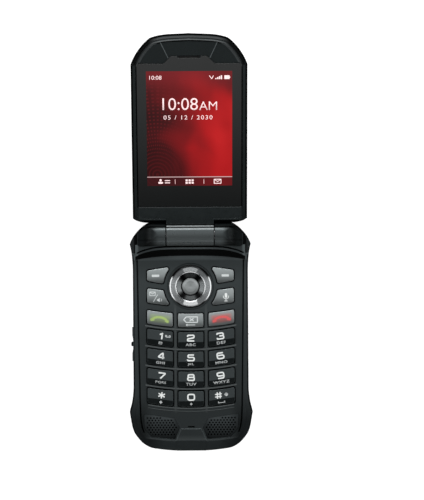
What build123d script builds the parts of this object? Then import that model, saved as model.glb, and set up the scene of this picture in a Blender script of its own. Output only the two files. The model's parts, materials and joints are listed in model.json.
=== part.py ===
from build123d import *
import math
import os

os.makedirs("parts", exist_ok=True)

# ---------------------------------------------------------------- dimensions
# Clamshell phone lying open on its back.  Millimetres, +Z up, +Y from the
# microphone end towards the hinge, +X to the right of someone facing the keys.
# The origin is the centre of the flat back that the keypad half rests on.
YB = 54.5                # the microphone end is this far behind the origin
AXIS_Y = 102.5 - YB      # hinge axis
AXIS_Z = 16.0
OPEN_TILT = 10.0         # the open display half rises 10 degrees from flat
PART_Z = 6.0             # parting plane of the keypad half's two housings
RAIL_Z = 12.3            # top of the side rails
DECK_Z = 13.0            # keypad deck
DECK_UNDER = 11.5        # underside of the deck
SADDLE_Z = 14.6          # raised lip in front of the hinge barrel
BARREL_R = 5.3
KNUCKLE_X = 11.2         # half length of the display half's knuckle
CUT_X = 11.4             # half length of the gap it turns in
CUT_R = 5.65
CROWN_R = 22.0           # the function keys are crowned to this radius about X
SMILE_R = 111.7          # the key rows follow this arc
KEY_FOOT = 10.2          # underside of every key
KEY_FLANGE_TOP = 11.35
NUM_TOP = 14.0           # top of the number keys
FUN_TOP = 13.9           # top of the soft and function keys
KEY_GAP = 0.45           # gap round each key cap in the deck
FLANGE = 0.7             # retaining flange round the key's foot
NAV_Y = 77.93            # centre of the navigation ring, from the microphone end
NAV_R = 9.9
NAV_IN = 4.5
OK_R = 4.05
COL_IN = 8.45            # inner and outer edges of the outer key columns
COL_OUT = 20.7
COL_MID = 6.05           # half width of the middle key column
ROW_PITCH = 9.34
ROW_H = 7.44
ROW1_TOP = 56.3          # top edge of the first digit row, from the microphone end
SEND_TOP, SEND_BOT = 65.0, 58.5
BOARD_Z0, BOARD_Z1 = 7.3, 8.2
BAY_X, BAY_Y0, BAY_Y1 = 18.8, 28.0, 80.0
# display half, in its own flat frame: v runs from the hinge axis to the end,
# z is zero at the axis, the inner face is at +1 and the outer face at -7.8
LID_IN = 1.0
LID_OUT = -7.8
LID_PART = -2.6
PANEL_Z = 0.75           # inner panels round the lens
LENS_Z0, LENS_Z1 = -0.15, 0.6
LENS_X, LENS_V0, LENS_V1, LENS_TAB = 24.15, 13.35, 79.4, 82.8
SCREEN_X, SCREEN_V0, SCREEN_V1 = 19.8, 23.2, 76.0


# ------------------------------------------------------------------- helpers
def bx(x0, x1, b0, b1, z0, z1):
    """Box between two X, two distances from the microphone end, and two Z."""
    return Pos((x0 + x1) / 2, (b0 + b1) / 2 - YB, (z0 + z1) / 2) * Box(x1 - x0, b1 - b0, z1 - z0)


def bv(x0, x1, v0, v1, z0, z1):
    """Box in the display half's flat frame."""
    return Pos((x0 + x1) / 2, (v0 + v1) / 2, (z0 + z1) / 2) * Box(x1 - x0, v1 - v0, z1 - z0)


def rbx(x0, x1, b0, b1, z0, z1, r):
    s = bx(x0, x1, b0, b1, z0, z1)
    return fillet(s.edges().filter_by(Axis.Z), r)


def rbv(x0, x1, v0, v1, z0, z1, r):
    s = bv(x0, x1, v0, v1, z0, z1)
    return fillet(s.edges().filter_by(Axis.Z), r)


def cz(x, y, z0, z1, r):
    return Pos(x, y, (z0 + z1) / 2) * Cylinder(r, z1 - z0)


def cx(y, z, x0, x1, r):
    return Pos((x0 + x1) / 2, y, z) * Rot(0, 90, 0) * Cylinder(r, x1 - x0)


def cy(x, z, y0, y1, r):
    return Pos(x, (y0 + y1) / 2, z) * Rot(90, 0, 0) * Cylinder(r, y1 - y0)


def polyface(pts, z=0.0):
    f = Face(Wire(Polyline(*[(p[0], p[1], z) for p in pts], close=True).edges()))
    return f if f.normal_at().Z > 0 else -f


def prism(pts, z0, z1):
    return extrude(polyface(pts, z0), amount=z1 - z0, dir=(0, 0, 1))


def yz_prism(pts, x0, x1):
    """Solid with a (y, z) profile between two X."""
    f = Face(Wire(Polyline(*[(x0, p[0], p[1]) for p in pts], close=True).edges()))
    return extrude(f, amount=x1 - x0, dir=(1, 0, 0))


def xz_prism(pts, y0, y1):
    """Solid with an (x, z) profile between two Y."""
    f = Face(Wire(Polyline(*[(p[0], y0, p[1]) for p in pts], close=True).edges()))
    return extrude(f, amount=y1 - y0, dir=(0, 1, 0))


def solid_of(shape):
    """Largest solid of a shape, to drop slivers."""
    return max(shape.solids(), key=lambda s: s.volume)


def soft_edges(shape, edges, radii):
    """Fillet with the first radius of the list that the kernel accepts."""
    for r in radii:
        try:
            out = fillet(edges, r)
            if len(out.solids()) == len(shape.solids()) and out.is_valid:
                return out
        except Exception:
            pass
    return shape


SAVED = {}


def save(name, *solids):
    parts = []
    for s in solids:
        parts.extend(s.solids() if hasattr(s, "solids") else [s])
    shape = parts[0] if len(parts) == 1 else Compound(children=[Solid(p.wrapped) if not isinstance(p, Solid) else p for p in parts])
    shape.label = name
    export_step(shape, "parts/%s.step" % name)
    SAVED[name] = shape


# --------------------------------------------------- outlines with an inset
def with_normals(groups):
    """Outward normals for a closed outline given as groups of points."""
    flat = []
    for g in groups:
        flat.extend(g[:-1])
    n = len(flat)
    normals = {}
    for i, p in enumerate(flat):
        a, b = flat[i - 1], flat[(i + 1) % n]
        da = (p[0] - a[0], p[1] - a[1])
        db = (b[0] - p[0], b[1] - p[1])
        la, lb = math.hypot(*da), math.hypot(*db)
        na = (da[1] / la, -da[0] / la)
        nb = (db[1] / lb, -db[0] / lb)
        s = (na[0] + nb[0], na[1] + nb[1])
        ls = math.hypot(*s)
        c = (s[0] / ls * na[0] + s[1] / ls * na[1])
        normals[(round(p[0], 4), round(p[1], 4))] = (s[0] / ls / c, s[1] / ls / c)
    return normals


def inset_face(groups, kinds, inset, z, y_off):
    """Face of the outline moved inwards by the inset, at height z."""
    normals = with_normals(groups)
    edges = []
    for g, kind in zip(groups, kinds):
        q = []
        for p in g:
            nx, ny = normals[(round(p[0], 4), round(p[1], 4))]
            q.append((p[0] - nx * inset, p[1] - ny * inset - y_off, z))
        if kind == "line":
            for a, b in zip(q[:-1], q[1:]):
                edges.append(Line(a, b))
        else:
            edges.append(Spline(*q))
    all_edges = []
    for e in edges:
        all_edges.extend(e.edges())
    return Face(Wire(all_edges))


def mirror_groups(right):
    """Closed outline from its right half, which runs from bottom to top."""
    left = []
    for g, kind in reversed(right):
        left.append(([(-x, y) for x, y in reversed(g)], kind))
    full = list(right) + left
    return [g for g, _ in full], [k for _, k in full]


BASE_RIGHT = [
    ([(0, -1.32), (6, -1.14), (12, -0.7), (17.5, 0.02)], "curve"),
    ([(17.5, 0.02), (20.2, 0.85), (22.2, 2.15), (25.3, 5.3), (27.05, 7.7), (27.9, 9.7), (28.4, 11.6),
      (29.0, 14.9), (29.5, 17.9)], "curve"),
    ([(29.5, 17.9), (29.05, 19.8), (28.6, 21.4), (28.25, 23.3), (27.86, 26.0), (27.6, 29.8)], "curve"),
    ([(27.6, 29.8), (27.6, 86.0)], "line"),
    ([(27.6, 86.0), (27.85, 91.0), (28.35, 95.0), (29.05, 98.1)], "curve"),
    ([(29.05, 98.1), (27.9, 100.75), (26.65, 102.7), (25.1, 104.55), (23.1, 106.45), (20.95, 107.95)], "curve"),
    ([(20.95, 107.95), (19.4, 108.6), (17.6, 108.8)], "curve"),
    ([(17.6, 108.8), (0, 108.8)], "line"),
]
BASE_G, BASE_K = mirror_groups(BASE_RIGHT)

LID_RIGHT = [
    ([(0, 5.45), (19.2, 5.45)], "line"),
    ([(19.2, 5.45), (21.6, 5.6), (24.2, 6.3), (26.88, 7.8)], "curve"),
    ([(26.88, 7.8), (26.88, 79.1)], "line"),
    ([(26.88, 79.1), (26.1, 81.0), (24.0, 84.68), (21.1, 88.3), (17.95, 91.1)], "curve"),
    ([(17.95, 91.1), (15.05, 92.0), (10.15, 92.73), (0, 93.18)], "curve"),
]
LID_G, LID_K = mirror_groups(LID_RIGHT)


def base_face(inset, z):
    return inset_face(BASE_G, BASE_K, inset, z, YB)


def lid_face(inset, z):
    return inset_face(LID_G, LID_K, inset, z, 0.0)


def base_loft(levels):
    return loft([base_face(i, z) for z, i in levels], ruled=True)


def lid_loft(levels):
    return loft([lid_face(i, z) for z, i in levels], ruled=True)


def smile(x, y0):
    """Height of a key row's arc at x, where y0 is its height at the middle."""
    return y0 + SMILE_R - math.sqrt(SMILE_R ** 2 - x * x)


def arc_edge(x0, x1, y0, z):
    xm = (x0 + x1) / 2
    return ThreePointArc((x0, smile(x0, y0) - YB, z), (xm, smile(xm, y0) - YB, z), (x1, smile(x1, y0) - YB, z))


def arc_band(x0, x1, top, bot, z=0.0):
    """Face between two row arcs and two upright edges."""
    lo = arc_edge(x0, x1, bot, z)
    hi = arc_edge(x1, x0, top, z)
    e = [lo, Line(lo @ 1, hi @ 0), hi, Line(hi @ 1, lo @ 0)]
    out = []
    for k in e:
        out.extend(k.edges())
    return Face(Wire(out))


def round_face(face, r):
    return fillet(face.vertices(), r)


# -------------------------------------------------------------- key outlines
KEYS = {}


def grid_face(col, top, bot):
    if col == "m":
        f = arc_band(-COL_MID, COL_MID, top, bot)
    elif col == "l":
        f = arc_band(-COL_OUT, -COL_IN, top, bot)
    else:
        f = arc_band(COL_IN, COL_OUT, top, bot)
    return round_face(f, 0.7)


ROWS = [ROW1_TOP - ROW_PITCH * k for k in range(4)]
LABELS = [["key_1", "key_2", "key_3"], ["key_4", "key_5", "key_6"],
          ["key_7", "key_8", "key_9"], ["key_star", "key_0", "key_pound"]]
for row, names in zip(ROWS, LABELS):
    for name, col in zip(names, "lmr"):
        KEYS[name] = (grid_face(col, row, row - ROW_H), col, row)
for name, col in zip(["key_send", "key_clear", "key_end"], "lmr"):
    KEYS[name] = (grid_face(col, SEND_TOP, SEND_BOT), col, None)


def circle_hit(a, b, r):
    """Point where the segment from a to b meets the circle about the navigation centre."""
    dx, dy = b[0] - a[0], b[1] - a[1]
    fx, fy = a[0], a[1] - NAV_Y
    qa, qb, qc = dx * dx + dy * dy, 2 * (fx * dx + fy * dy), fx * fx + fy * fy - r * r
    t = (-qb - math.sqrt(qb * qb - 4 * qa * qc)) / (2 * qa)
    return (a[0] + dx * t, a[1] + dy * t)


def fan_face(pts, side):
    """Key beside the navigation ring, with its inner edge concentric to it."""
    out_top, in_top, in_bot, out_bot = pts
    r = 12.8
    p = circle_hit(out_top, in_top, r) if math.dist(in_top, (0, NAV_Y)) < r else in_top
    q = circle_hit(out_bot, in_bot, r) if math.dist(in_bot, (0, NAV_Y)) < r else in_bot
    am = (math.atan2(p[1] - NAV_Y, p[0]) + math.atan2(q[1] - NAV_Y, q[0])) / 2
    m = (r * math.cos(am), NAV_Y + r * math.sin(am))

    def v(a):
        return (side * a[0], a[1] - YB, 0)
    rp = math.dist(p, (0, NAV_Y))
    rq = math.dist(q, (0, NAV_Y))
    bulge = (rp + rq) / 2 - r
    m = ((r + bulge) * math.cos(am), NAV_Y + (r + bulge) * math.sin(am))
    parts = [Line(v(out_top), v(p)), ThreePointArc(v(p), v(m), v(q)), Line(v(q), v(out_bot)),
             Line(v(out_bot), v(out_top))]
    out = []
    for k in parts:
        out.extend(k.edges())
    f = Face(Wire(out))
    if f.normal_at().Z < 0:
        f = -f
    return round_face(f, 0.9)


SOFT = [(20.6, 85.6), (9.0, 87.35), (9.0, 78.6), (20.6, 80.65)]
LOWER = [(20.6, 77.25), (9.0, 75.6), (9.0, 68.7), (20.6, 70.3)]
KEYS["key_soft_left"] = (fan_face(SOFT, -1), "f", None)
KEYS["key_soft_right"] = (fan_face(SOFT, 1), "f", None)
KEYS["key_message"] = (fan_face(LOWER, -1), "f", None)
KEYS["key_voice"] = (fan_face(LOWER, 1), "f", None)


def at_z(face, z):
    return Pos(0, 0, z) * face


def grown(face, d):
    return offset(face, amount=d)


def make_key(name):
    face, col, row = KEYS[name]
    top = NUM_TOP if row is not None else FUN_TOP
    cap = extrude(at_z(face, KEY_FOOT), amount=top - KEY_FOOT, dir=(0, 0, 1))
    if row is not None:
        # the lower third of a digit key slopes away towards the microphone end
        xc = {"l": -14.6, "m": 0.0, "r": 14.6}[col]
        ang = math.degrees(math.asin(xc / SMILE_R))
        yb = smile(xc, row - ROW_H) - YB
        wedge = yz_prism([(-2.0, top - 0.72 - 2.0 * 0.26), (2.75, top), (2.75, top + 2), (-2.0, top + 2)], -9, 9)
        cap = cap - (Pos(xc, yb, 0) * Rot(0, 0, ang) * wedge)
        cap = solid_of(cap)
        ring = [e for e in cap.edges() if e.center().Z > top - 0.9 and e.bounding_box().min.Z > KEY_FLANGE_TOP + 1.2
                and not (abs(e.center().Z - top) < 0.02 and e.length > 9 and e.center().Y < yb + 3.2)]
        cap = soft_edges(cap, ring, [0.22, 0.12])
    else:
        # function keys are crowned about the X axis
        xc = {"l": -14.6, "m": 0.0, "r": 14.6, "f": 0.0}[col]
        ang = math.degrees(math.asin(xc / SMILE_R))
        yc = face.bounding_box().center().Y if col == "f" else smile(xc, (SEND_TOP + SEND_BOT) / 2) - YB
        crown = Rot(0, 90, 0) * Cylinder(CROWN_R, 60)
        cap = cap & (Pos(xc, yc, top - CROWN_R) * Rot(0, 0, ang) * crown)
        cap = solid_of(cap)
        cap = soft_edges(cap, [e for e in cap.edges() if e.bounding_box().min.Z > top - 0.75], [0.3, 0.2, 0.1])
    foot = extrude(at_z(grown(face, FLANGE), KEY_FOOT), amount=KEY_FLANGE_TOP - KEY_FOOT, dir=(0, 0, 1))
    return solid_of(cap + foot)


for name in KEYS:
    save(name, make_key(name))

# ---------------------------------------------------------- navigation keys
NX, NY = 0.0, NAV_Y - YB


def revolved(profile):
    """Ring about the navigation centre from an (r, z) profile."""
    f = Face(Wire(Polyline(*[(r, 0, z) for r, z in profile], close=True).edges()))
    return Pos(NX, NY, 0) * revolve(f, axis=Axis.Z)


ring = revolved([(NAV_IN, 11.42), (9.6, 11.42), (9.6, 12.6), (NAV_R, 12.75), (NAV_R, 13.75), (9.3, 14.12),
                 (7.2, 14.2), (6.78, 13.94), (6.5, 13.3), (NAV_IN, 12.88)])
# rocking ribs under the ring, along Y
rib = cy(0, 11.42, NY + 5.6, NY + 9.2, 0.4) + cy(0, 11.42, NY - 9.2, NY - 5.6, 0.4)
ring = ring + rib
# raised direction pads at the top and the bottom of the ring
pad_ring = revolved([(7.05, 13.2), (9.35, 13.2), (9.35, 14.3), (9.1, 14.42), (7.3, 14.42), (7.05, 14.3)])
for s in (1, -1):
    sector = Pos(0, NY, 0) * prism([(0, 0), (-6.2, s * 13.0), (6.2, s * 13.0)], 13.0, 15.0)
    ring = ring + (pad_ring & sector)
save("nav_ring", solid_of(ring))

actuator = revolved([(5.3, KEY_FOOT), (10.85, KEY_FOOT), (10.85, 10.95), (5.3, 10.95)])
for k in range(4):
    a = math.radians(45 + 90 * k)
    actuator = actuator - cz(8.2 * math.cos(a), NY + 8.2 * math.sin(a), 10, 11.2, 1.0)
# round rocking ribs on its rim, on the X axis
for xa, xb in ((10.0, 10.8), (-10.8, -10.0)):
    actuator = actuator + cx(NY, 10.95, xa, xb, 0.35)
save("nav_actuator", solid_of(actuator))

ok = revolved([(0, KEY_FOOT), (4.95, KEY_FOOT), (4.95, 10.85), (OK_R, 10.85), (OK_R, 13.85), (3.75, 14.15),
               (2.6, 14.2), (0, 14.05)])
save("nav_ok_key", solid_of(ok))

# ------------------------------------------------------------ keypad half
outer = base_loft([(PART_Z, 0.0), (9.6, 0.12), (RAIL_Z, 1.0)])
# deck plate
deck = extrude(base_face(3.1, DECK_UNDER - 0.5), amount=DECK_Z - DECK_UNDER + 0.5, dir=(0, 0, 1))
deck = deck & bx(-30, 30, 4.8, 93.0, 5, 20)
front = outer & bx(-30, 30, -1, 96.0, 5, 20)
front = front + deck

# hinge barrel, saddle and shoulders
shoulder_plan = base_loft([(PART_Z, 0.0), (9.6, 0.12), (12.2, 0.35), (22.0, 3.6)])
profile = yz_prism([(93.0 - YB, PART_Z), (93.0 - YB, 12.3), (95.8 - YB, SADDLE_Z), (AXIS_Y - 5.0, SADDLE_Z),
                    (AXIS_Y, AXIS_Z + 1), (AXIS_Y, AXIS_Z), (AXIS_Y + BARREL_R, AXIS_Z),
                    (AXIS_Y + BARREL_R, 10.0), (AXIS_Y + 6.4, 8.7), (AXIS_Y + 6.4, PART_Z)], -29.6, 29.6)
profile = profile + cx(AXIS_Y, AXIS_Z, -29.6, 29.6, BARREL_R)
crest = Spline((11.0, 0, 21.5), (14.0, 0, 21.45), (16.0, 0, 21.2), (18.0, 0, 20.55), (20.0, 0, 19.35),
               (22.0, 0, 17.6), (24.0, 0, 15.55), (25.6, 0, 13.9), (27.4, 0, 12.5), (29.3, 0, 11.6))


def half_wedge():
    e = [crest, Line((29.3, 0, 11.6), (29.3, 0, PART_Z)), Line((29.3, 0, PART_Z), (0, 0, PART_Z)),
         Line((0, 0, PART_Z), (0, 0, 21.5)), Line((0, 0, 21.5), (11.0, 0, 21.5))]
    out = []
    for k in e:
        out.extend(k.edges())
    return extrude(Pos(0, 90 - YB, 0) * Face(Wire(out)), amount=20, dir=(0, 1, 0))


wedge = half_wedge()
wedge = wedge + mirror(wedge, about=Plane.YZ)
shoulders = shoulder_plan & profile & wedge
shoulders = solid_of(shoulders)
front = front + shoulders

# the lip in front of the barrel: its middle line, and the foot of the slope before it
LIP = [(0, 41.57), (8.0, 41.55), (13.0, 41.42), (17.6, 40.95), (20.0, 40.42), (22.2, 39.8), (24.2, 39.0), (26.0, 38.1)]
LIP_HALF = 0.42


def lip_curve(d, z):
    pts = [(-x, y + d, z) for x, y in reversed(LIP[1:])] + [(x, y + d, z) for x, y in LIP]
    return Spline(*pts)


def behind(curve, back):
    """Face between a curve and a straight line behind it."""
    p, q = curve @ 0, curve @ 1
    e = [curve, Line(q, (q.X, back, q.Z)), Line((q.X, back, q.Z), (p.X, back, p.Z)), Line((p.X, back, p.Z), p)]
    out = []
    for k in e:
        out.extend(k.edges())
    return Face(Wire(out))


def foot_curve(z):
    r = 250.0
    return ThreePointArc((-26.0, 36.74 - (r - math.sqrt(r * r - 676)), z), (0, 36.74, z),
                         (26.0, 36.74 - (r - math.sqrt(r * r - 676)), z))


riser = loft([behind(foot_curve(DECK_Z - 0.6), 43.2), behind(lip_curve(-LIP_HALF, SADDLE_Z), 43.2)], ruled=True)
riser = riser & base_loft([(PART_Z, 0.0), (9.6, 0.12), (12.2, 0.35), (22.0, 3.6)])
front = front + solid_of(riser)
# groove between the lip and the barrel
gap_face = behind(lip_curve(LIP_HALF, 12.7), 47.0)
gap_face = gap_face - behind(lip_curve(LIP_HALF + 0.75, 12.7), 47.0)
gap = extrude(gap_face, amount=9, dir=(0, 0, 1)) & bx(-25.4, 25.4, 90, 101, 12, 23)
front = front - gap

# space for the display half's knuckle and neck
front = front - cx(AXIS_Y, AXIS_Z, -CUT_X, CUT_X, CUT_R)
front = front - bx(-CUT_X, CUT_X, 102.5, 110, 9.3, 30)

# sloping chin at the microphone end


def chin_face(mid, bow, z):
    """Face in front of an arc that bows back towards both sides."""
    arc = ThreePointArc((-30, mid + bow * 900 - YB, z), (0, mid - YB, z), (30, mid + bow * 900 - YB, z))
    e = [arc, Line(arc @ 1, (30, -6 - YB, z)), Line((30, -6 - YB, z), (-30, -6 - YB, z)), Line((-30, -6 - YB, z), arc @ 0)]
    out = []
    for k in e:
        out.extend(k.edges())
    return Face(Wire(out))


chin_top = chin_face(4.9, 0.0033, DECK_Z)
front = front - loft([chin_face(-1.55, 0.0042, 6.82), chin_top], ruled=True) - extrude(chin_top, amount=8, dir=(0, 0, 1))
# the tab between the grilles runs on down the chin
front = front + yz_prism([(5.2 - YB, 12.4), (5.2 - YB, DECK_Z + 0.28), (4.88 - YB, DECK_Z + 0.28), (-1.0 - YB, 7.62),
                          (-1.0 - YB, 6.8), (0.2 - YB, 6.8)], -6.85, 6.85)

# groove between the side rails and the deck
GROOVE = [(25.3, 90.5), (25.2, 85.0), (25.0, 71.0), (24.65, 50.0), (24.35, 33.0), (24.2, 23.0), (23.9, 15.0),
          (23.35, 11.3), (22.4, 8.6)]
GROOVE_HALF = 0.37


def rail_band(side, half, z0, z1):
    band = [(side * (x + half), b - YB) for x, b in GROOVE] + [(side * (x - half), b - YB) for x, b in reversed(GROOVE)]
    return prism(band, z0, z1)


for side in (-1, 1):
    front = front - rail_band(side, GROOVE_HALF, RAIL_Z - 0.7, RAIL_Z + 3)

# inside space
hollow = extrude(base_face(2.0, PART_Z - 0.1), amount=4.6, dir=(0, 0, 1)) & bx(-30, 30, 4.6, 94.0, 5, 20)
hollow2 = extrude(base_face(3.2, 10.0), amount=DECK_UNDER - 10.0, dir=(0, 0, 1)) & bx(-30, 30, 4.6, 91.0, 5, 20)
# the deck stays thick under the rail grooves
for side in (-1, 1):
    hollow2 = hollow2 - rail_band(side, 1.1, 10.97, 12.0)
front = front - hollow - hollow2

# raised ribs of the key field
for k in range(3):
    mid = ROWS[k] - ROW_H - (ROW_PITCH - ROW_H) / 2
    front = front + extrude(arc_band(-21.6, 21.6, mid + 0.3, mid - 0.3, DECK_Z - 0.2), amount=0.5, dir=(0, 0, 1))
mid = (SEND_BOT + ROW1_TOP) / 2
front = front + extrude(arc_band(-21.6, 21.6, mid + 0.3, mid - 0.3, DECK_Z - 0.2), amount=0.5, dir=(0, 0, 1))
front = front + extrude(arc_band(-20.4, 20.4, 20.15, 18.6, DECK_Z - 0.2), amount=0.48, dir=(0, 0, 1))

# key openings
for name, (face, col, row) in KEYS.items():
    front = front - extrude(at_z(grown(face, KEY_GAP), 10.5), amount=5, dir=(0, 0, 1))
front = front - cz(NX, NY, 10.5, 16, NAV_R + 0.38)
# dished floor round the navigation ring
front = front - revolved([(0, 12.75), (NAV_R + 0.9, 12.75), (NAV_R + 1.5, 13.3), (0, 13.3)])

# loudspeaker grilles and their seats
GRILLE = [(22.5, 17.6), (8.05, 15.5), (5.5, 11.05), (7.65, 5.5), (18.9, 6.55), (22.35, 10.6)]


def grille_face(side, d, z):
    f = polyface([(side * x, y - YB) for x, y in GRILLE])
    f = round_face(f, 0.8)
    if d:
        f = grown(f, d)
    return at_z(f, z)


for side in (-1, 1):
    front = front - extrude(grille_face(side, 0.0, DECK_Z - 0.95), amount=3, dir=(0, 0, 1))
    front = front - extrude(grille_face(side, -0.9, 10.5), amount=4, dir=(0, 0, 1))
# raised tab between the grilles, and the microphone slot
tab_lo = polyface([(-5.1, 10.6 - YB), (5.1, 10.6 - YB), (7.45, 4.95 - YB), (-7.45, 4.95 - YB)], DECK_Z - 0.05)
tab_hi = polyface([(-4.6, 10.2 - YB), (4.6, 10.2 - YB), (6.85, 4.95 - YB), (-6.85, 4.95 - YB)], DECK_Z + 0.28)
front = front + loft([tab_lo, tab_hi], ruled=True)
front = front - rbx(-1.65, 1.65, 10.95, 11.65, 10.5, 15, 0.34)

# screw bosses
SCREWS = [(-22.3, 20.0), (22.3, 20.0), (-22.3, 91.0), (22.3, 91.0)]
for x, b in SCREWS:
    boss = cz(x, b - YB, PART_Z, 11.6, 2.2)
    boss = boss & outer
    front = front + boss
for x, b in SCREWS:
    front = front - cz(x, b - YB, PART_Z - 1, 10.6, 0.85)

# hinge bores
front = front - cx(AXIS_Y, AXIS_Z, -20.6, -11.0, 2.55)
front = front - cx(AXIS_Y, AXIS_Z, 11.0, 20.6, 2.95)
# flat cable passage from the hinge bore to the inside
front = front - bx(19.2, 20.6, 101.4, 103.6, 8.0, 15.0) - bx(19.2, 21.0, 93.5, 103.6, 8.0, 10.6)

# volume rocker pocket on the left side
VB0, VB1, VZ0, VZ1 = 42.4, 58.5, 7.6, 11.0
ROCK_X, ROCK_B = -26.65, 50.45
front = front - bx(-30, -25.25, VB0 - 0.25, VB1 + 0.25, VZ0 - 0.2, VZ1 + 0.2)
front = front - cz(ROCK_X, ROCK_B - YB, VZ0 - 0.65, VZ1 + 0.65, 0.56)
# side port pocket and port hole on the right side
PB0, PB1, PZ0, PZ1 = 43.0, 55.6, 7.5, 11.4
front = front - (bx(26.5, 30, PB0 - 0.2, PB1 + 0.2, PZ0 - 0.2, PZ1 + 0.2) +
                 cz(27.05, PB1 - 0.5 - YB, PZ0 - 0.2, PZ1 + 0.2, 0.72))
front = front - rbx(20, 27.45, 45.4, 53.2, 8.1, 11.05, 0.1)
front = solid_of(front)
save("base_front_housing", front)

# volume rocker
rocker = base_loft([(PART_Z, -0.45), (9.6, -0.33), (RAIL_Z, 0.4)]) & bx(-30, -25.7, VB0, VB1, VZ0, VZ1)
rocker = solid_of(rocker)
# the middle is lower than the two ramped ends, with a small nub in it
rocker = rocker - prism([(-30, 45.4 - YB), (-28.07, 45.4 - YB), (-27.5, 48.3 - YB), (-27.5, 52.6 - YB), (-28.07, 55.4 - YB),
                         (-30, 55.4 - YB)], 7, 12)
rocker = rocker + rbx(-28.4, -26.95, 49.5, 51.5, VZ0 + 0.7, VZ1 - 0.7, 0.5)
rocker = rocker + bx(-25.75, -24.85, 44.3, 46.3, 8.5, 10.1) + bx(-25.75, -24.85, 54.6, 56.6, 8.5, 10.1)
rocker = rocker + cz(ROCK_X, ROCK_B - YB, VZ0 - 0.55, VZ1 + 0.55, 0.5)
save("volume_rocker", solid_of(rocker))

# side port cover, flush with the side
flap = outer & bx(26.55, 30, PB0, PB1, PZ0, PZ1)
flap = solid_of(flap)
flap = flap - bx(25.0, 30, PB1 - 0.5, PB1 + 1, PZ0 - 1, PZ1 + 1)
flap = flap + cz(27.05, PB1 - 0.5 - YB, PZ0, PZ1, 0.5)
flap = flap - bx(27.05, 30, PB0 - 0.1, PB0 + 1.4, 8.6, 10.3)       # finger nail notch
save("usb_port_cover", solid_of(flap))

# ---------------------------------------------------------- rear housing
rear_outer = base_loft([(0.0, 2.4), (0.7, 1.5), (2.4, 0.45), (PART_Z, 0.0)])
rear = rear_outer - (extrude(base_face(2.0, 2.6), amount=4, dir=(0, 0, 1)) & bx(-30, 30, 4.2, 104.8, 0, 20))
rear = rear + bx(-BAY_X - 1.2, BAY_X + 1.2, BAY_Y0 - 1.2, BAY_Y1 + 1.2, 1.4, 6.95)
rear = rear - rbx(-BAY_X, BAY_X, BAY_Y0, BAY_Y1, -1, 6.15, 1.0)
COVER = (-21.8, 21.8, 24.6, 86.4)
rear = rear - rbx(COVER[0] - 0.2, COVER[1] + 0.2, COVER[2] - 0.2, COVER[3] + 0.2, -1, 1.3, 3.2)
# seal groove round the battery opening
g_out = rbx(-21.1, 21.1, 25.9, 82.2, 1.0, 1.95, 2.4)
g_in = rbx(-20.0, 20.0, 27.0, 81.1, 0.5, 2.2, 1.6)
rear = rear - (g_out - g_in)
# slots for the battery contacts
rear = rear - bx(-4.9, 4.9, BAY_Y1 - 0.5, BAY_Y1 + 1.3, 3.0, 5.6)
# screw holes and posts
for x, b in SCREWS:
    post = cz(x, b - YB, 1.0, PART_Z, 2.3) & rear_outer
    rear = rear + post
for x, b in SCREWS:
    rear = rear - cz(x, b - YB, -1, 1.5, 1.75) - cz(x, b - YB, 1, 7, 1.05)
# lock hole: a slot that the tongue passes when turned a quarter
LOCK_B = 84.2
rear = rear - cz(0, LOCK_B - YB, 1.0, 3.0, 1.3) - bx(-1.0, 1.0, LOCK_B - 2.0, LOCK_B + 2.0, 1.0, 3.0)
# groove of the housing seal
seal_ring = extrude(base_face(0.75, PART_Z - 0.45), amount=0.45, dir=(0, 0, 1)) - \
    extrude(base_face(1.45, PART_Z - 0.6), amount=0.9, dir=(0, 0, 1))
seal_groove = extrude(base_face(0.68, PART_Z - 0.45), amount=1.0, dir=(0, 0, 1)) - \
    extrude(base_face(1.52, PART_Z - 0.6), amount=1.6, dir=(0, 0, 1))
rear = rear - seal_groove
rear = solid_of(rear)
save("base_rear_housing", rear)
save("housing_seal", solid_of(seal_ring))

# battery cover, its lock and its seal
cover = rbx(COVER[0], COVER[1], COVER[2], COVER[3], 0.0, 1.22, 3.0)
cover = soft_edges(cover, [e for e in cover.edges() if e.center().Z < 0.01], [0.35, 0.2])
cover = cover - cz(0, LOCK_B - YB, -1, 0.95, 1.95) - cz(0, LOCK_B - YB, 0.5, 2, 1.25) - \
    bx(-0.95, 0.95, LOCK_B - 1.9, LOCK_B + 1.9, 0.5, 2)
for k in range(6):
    cover = cover - rbx(-15, 15, 36.5 + 5 * k, 37.6 + 5 * k, -0.5, 0.35, 0.5)
save("battery_cover", solid_of(cover))

lock = cz(0, LOCK_B - YB, 0.1, 0.9, 1.88) + cz(0, LOCK_B - YB, 0.8, 3.4, 1.15)
lock = lock + (Pos(0, LOCK_B - YB, 3.05) * Box(3.5, 1.7, 0.7))
lock = lock - (Pos(0, LOCK_B - YB, 0.15) * Box(3.0, 0.6, 0.7))
save("battery_cover_lock", solid_of(lock))
cover_seal = rbx(-21.0, 21.0, 26.0, 82.1, 1.22, 1.9, 2.3) - rbx(-20.1, 20.1, 26.9, 81.2, 1.0, 2.2, 1.7)
save("battery_cover_seal", solid_of(cover_seal))

# battery and its contacts
battery = rbx(-18.3, 18.3, BAY_Y0 + 0.3, BAY_Y1 - 0.45, 1.5, 6.0, 0.9)
battery = soft_edges(battery, [e for e in battery.edges() if e.center().Z < 1.51 or e.center().Z > 5.99], [0.4])
for x in (-3.9, -1.3, 1.3, 3.9):
    battery = battery - bx(x - 0.8, x + 0.8, BAY_Y1 - 0.75, BAY_Y1 + 1, 3.4, 5.2)
save("battery", solid_of(battery))
contacts = rbx(-5.4, 5.4, BAY_Y1 + 1.3, BAY_Y1 + 3.0, 3.6, BOARD_Z0, 0.3)
for x in (-3.9, -1.3, 1.3, 3.9):
    contacts = contacts + bx(x - 0.5, x + 0.5, BAY_Y1 - 0.7, BAY_Y1 + 1.4, 3.9, 4.7)
save("battery_contacts", solid_of(contacts))

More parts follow.
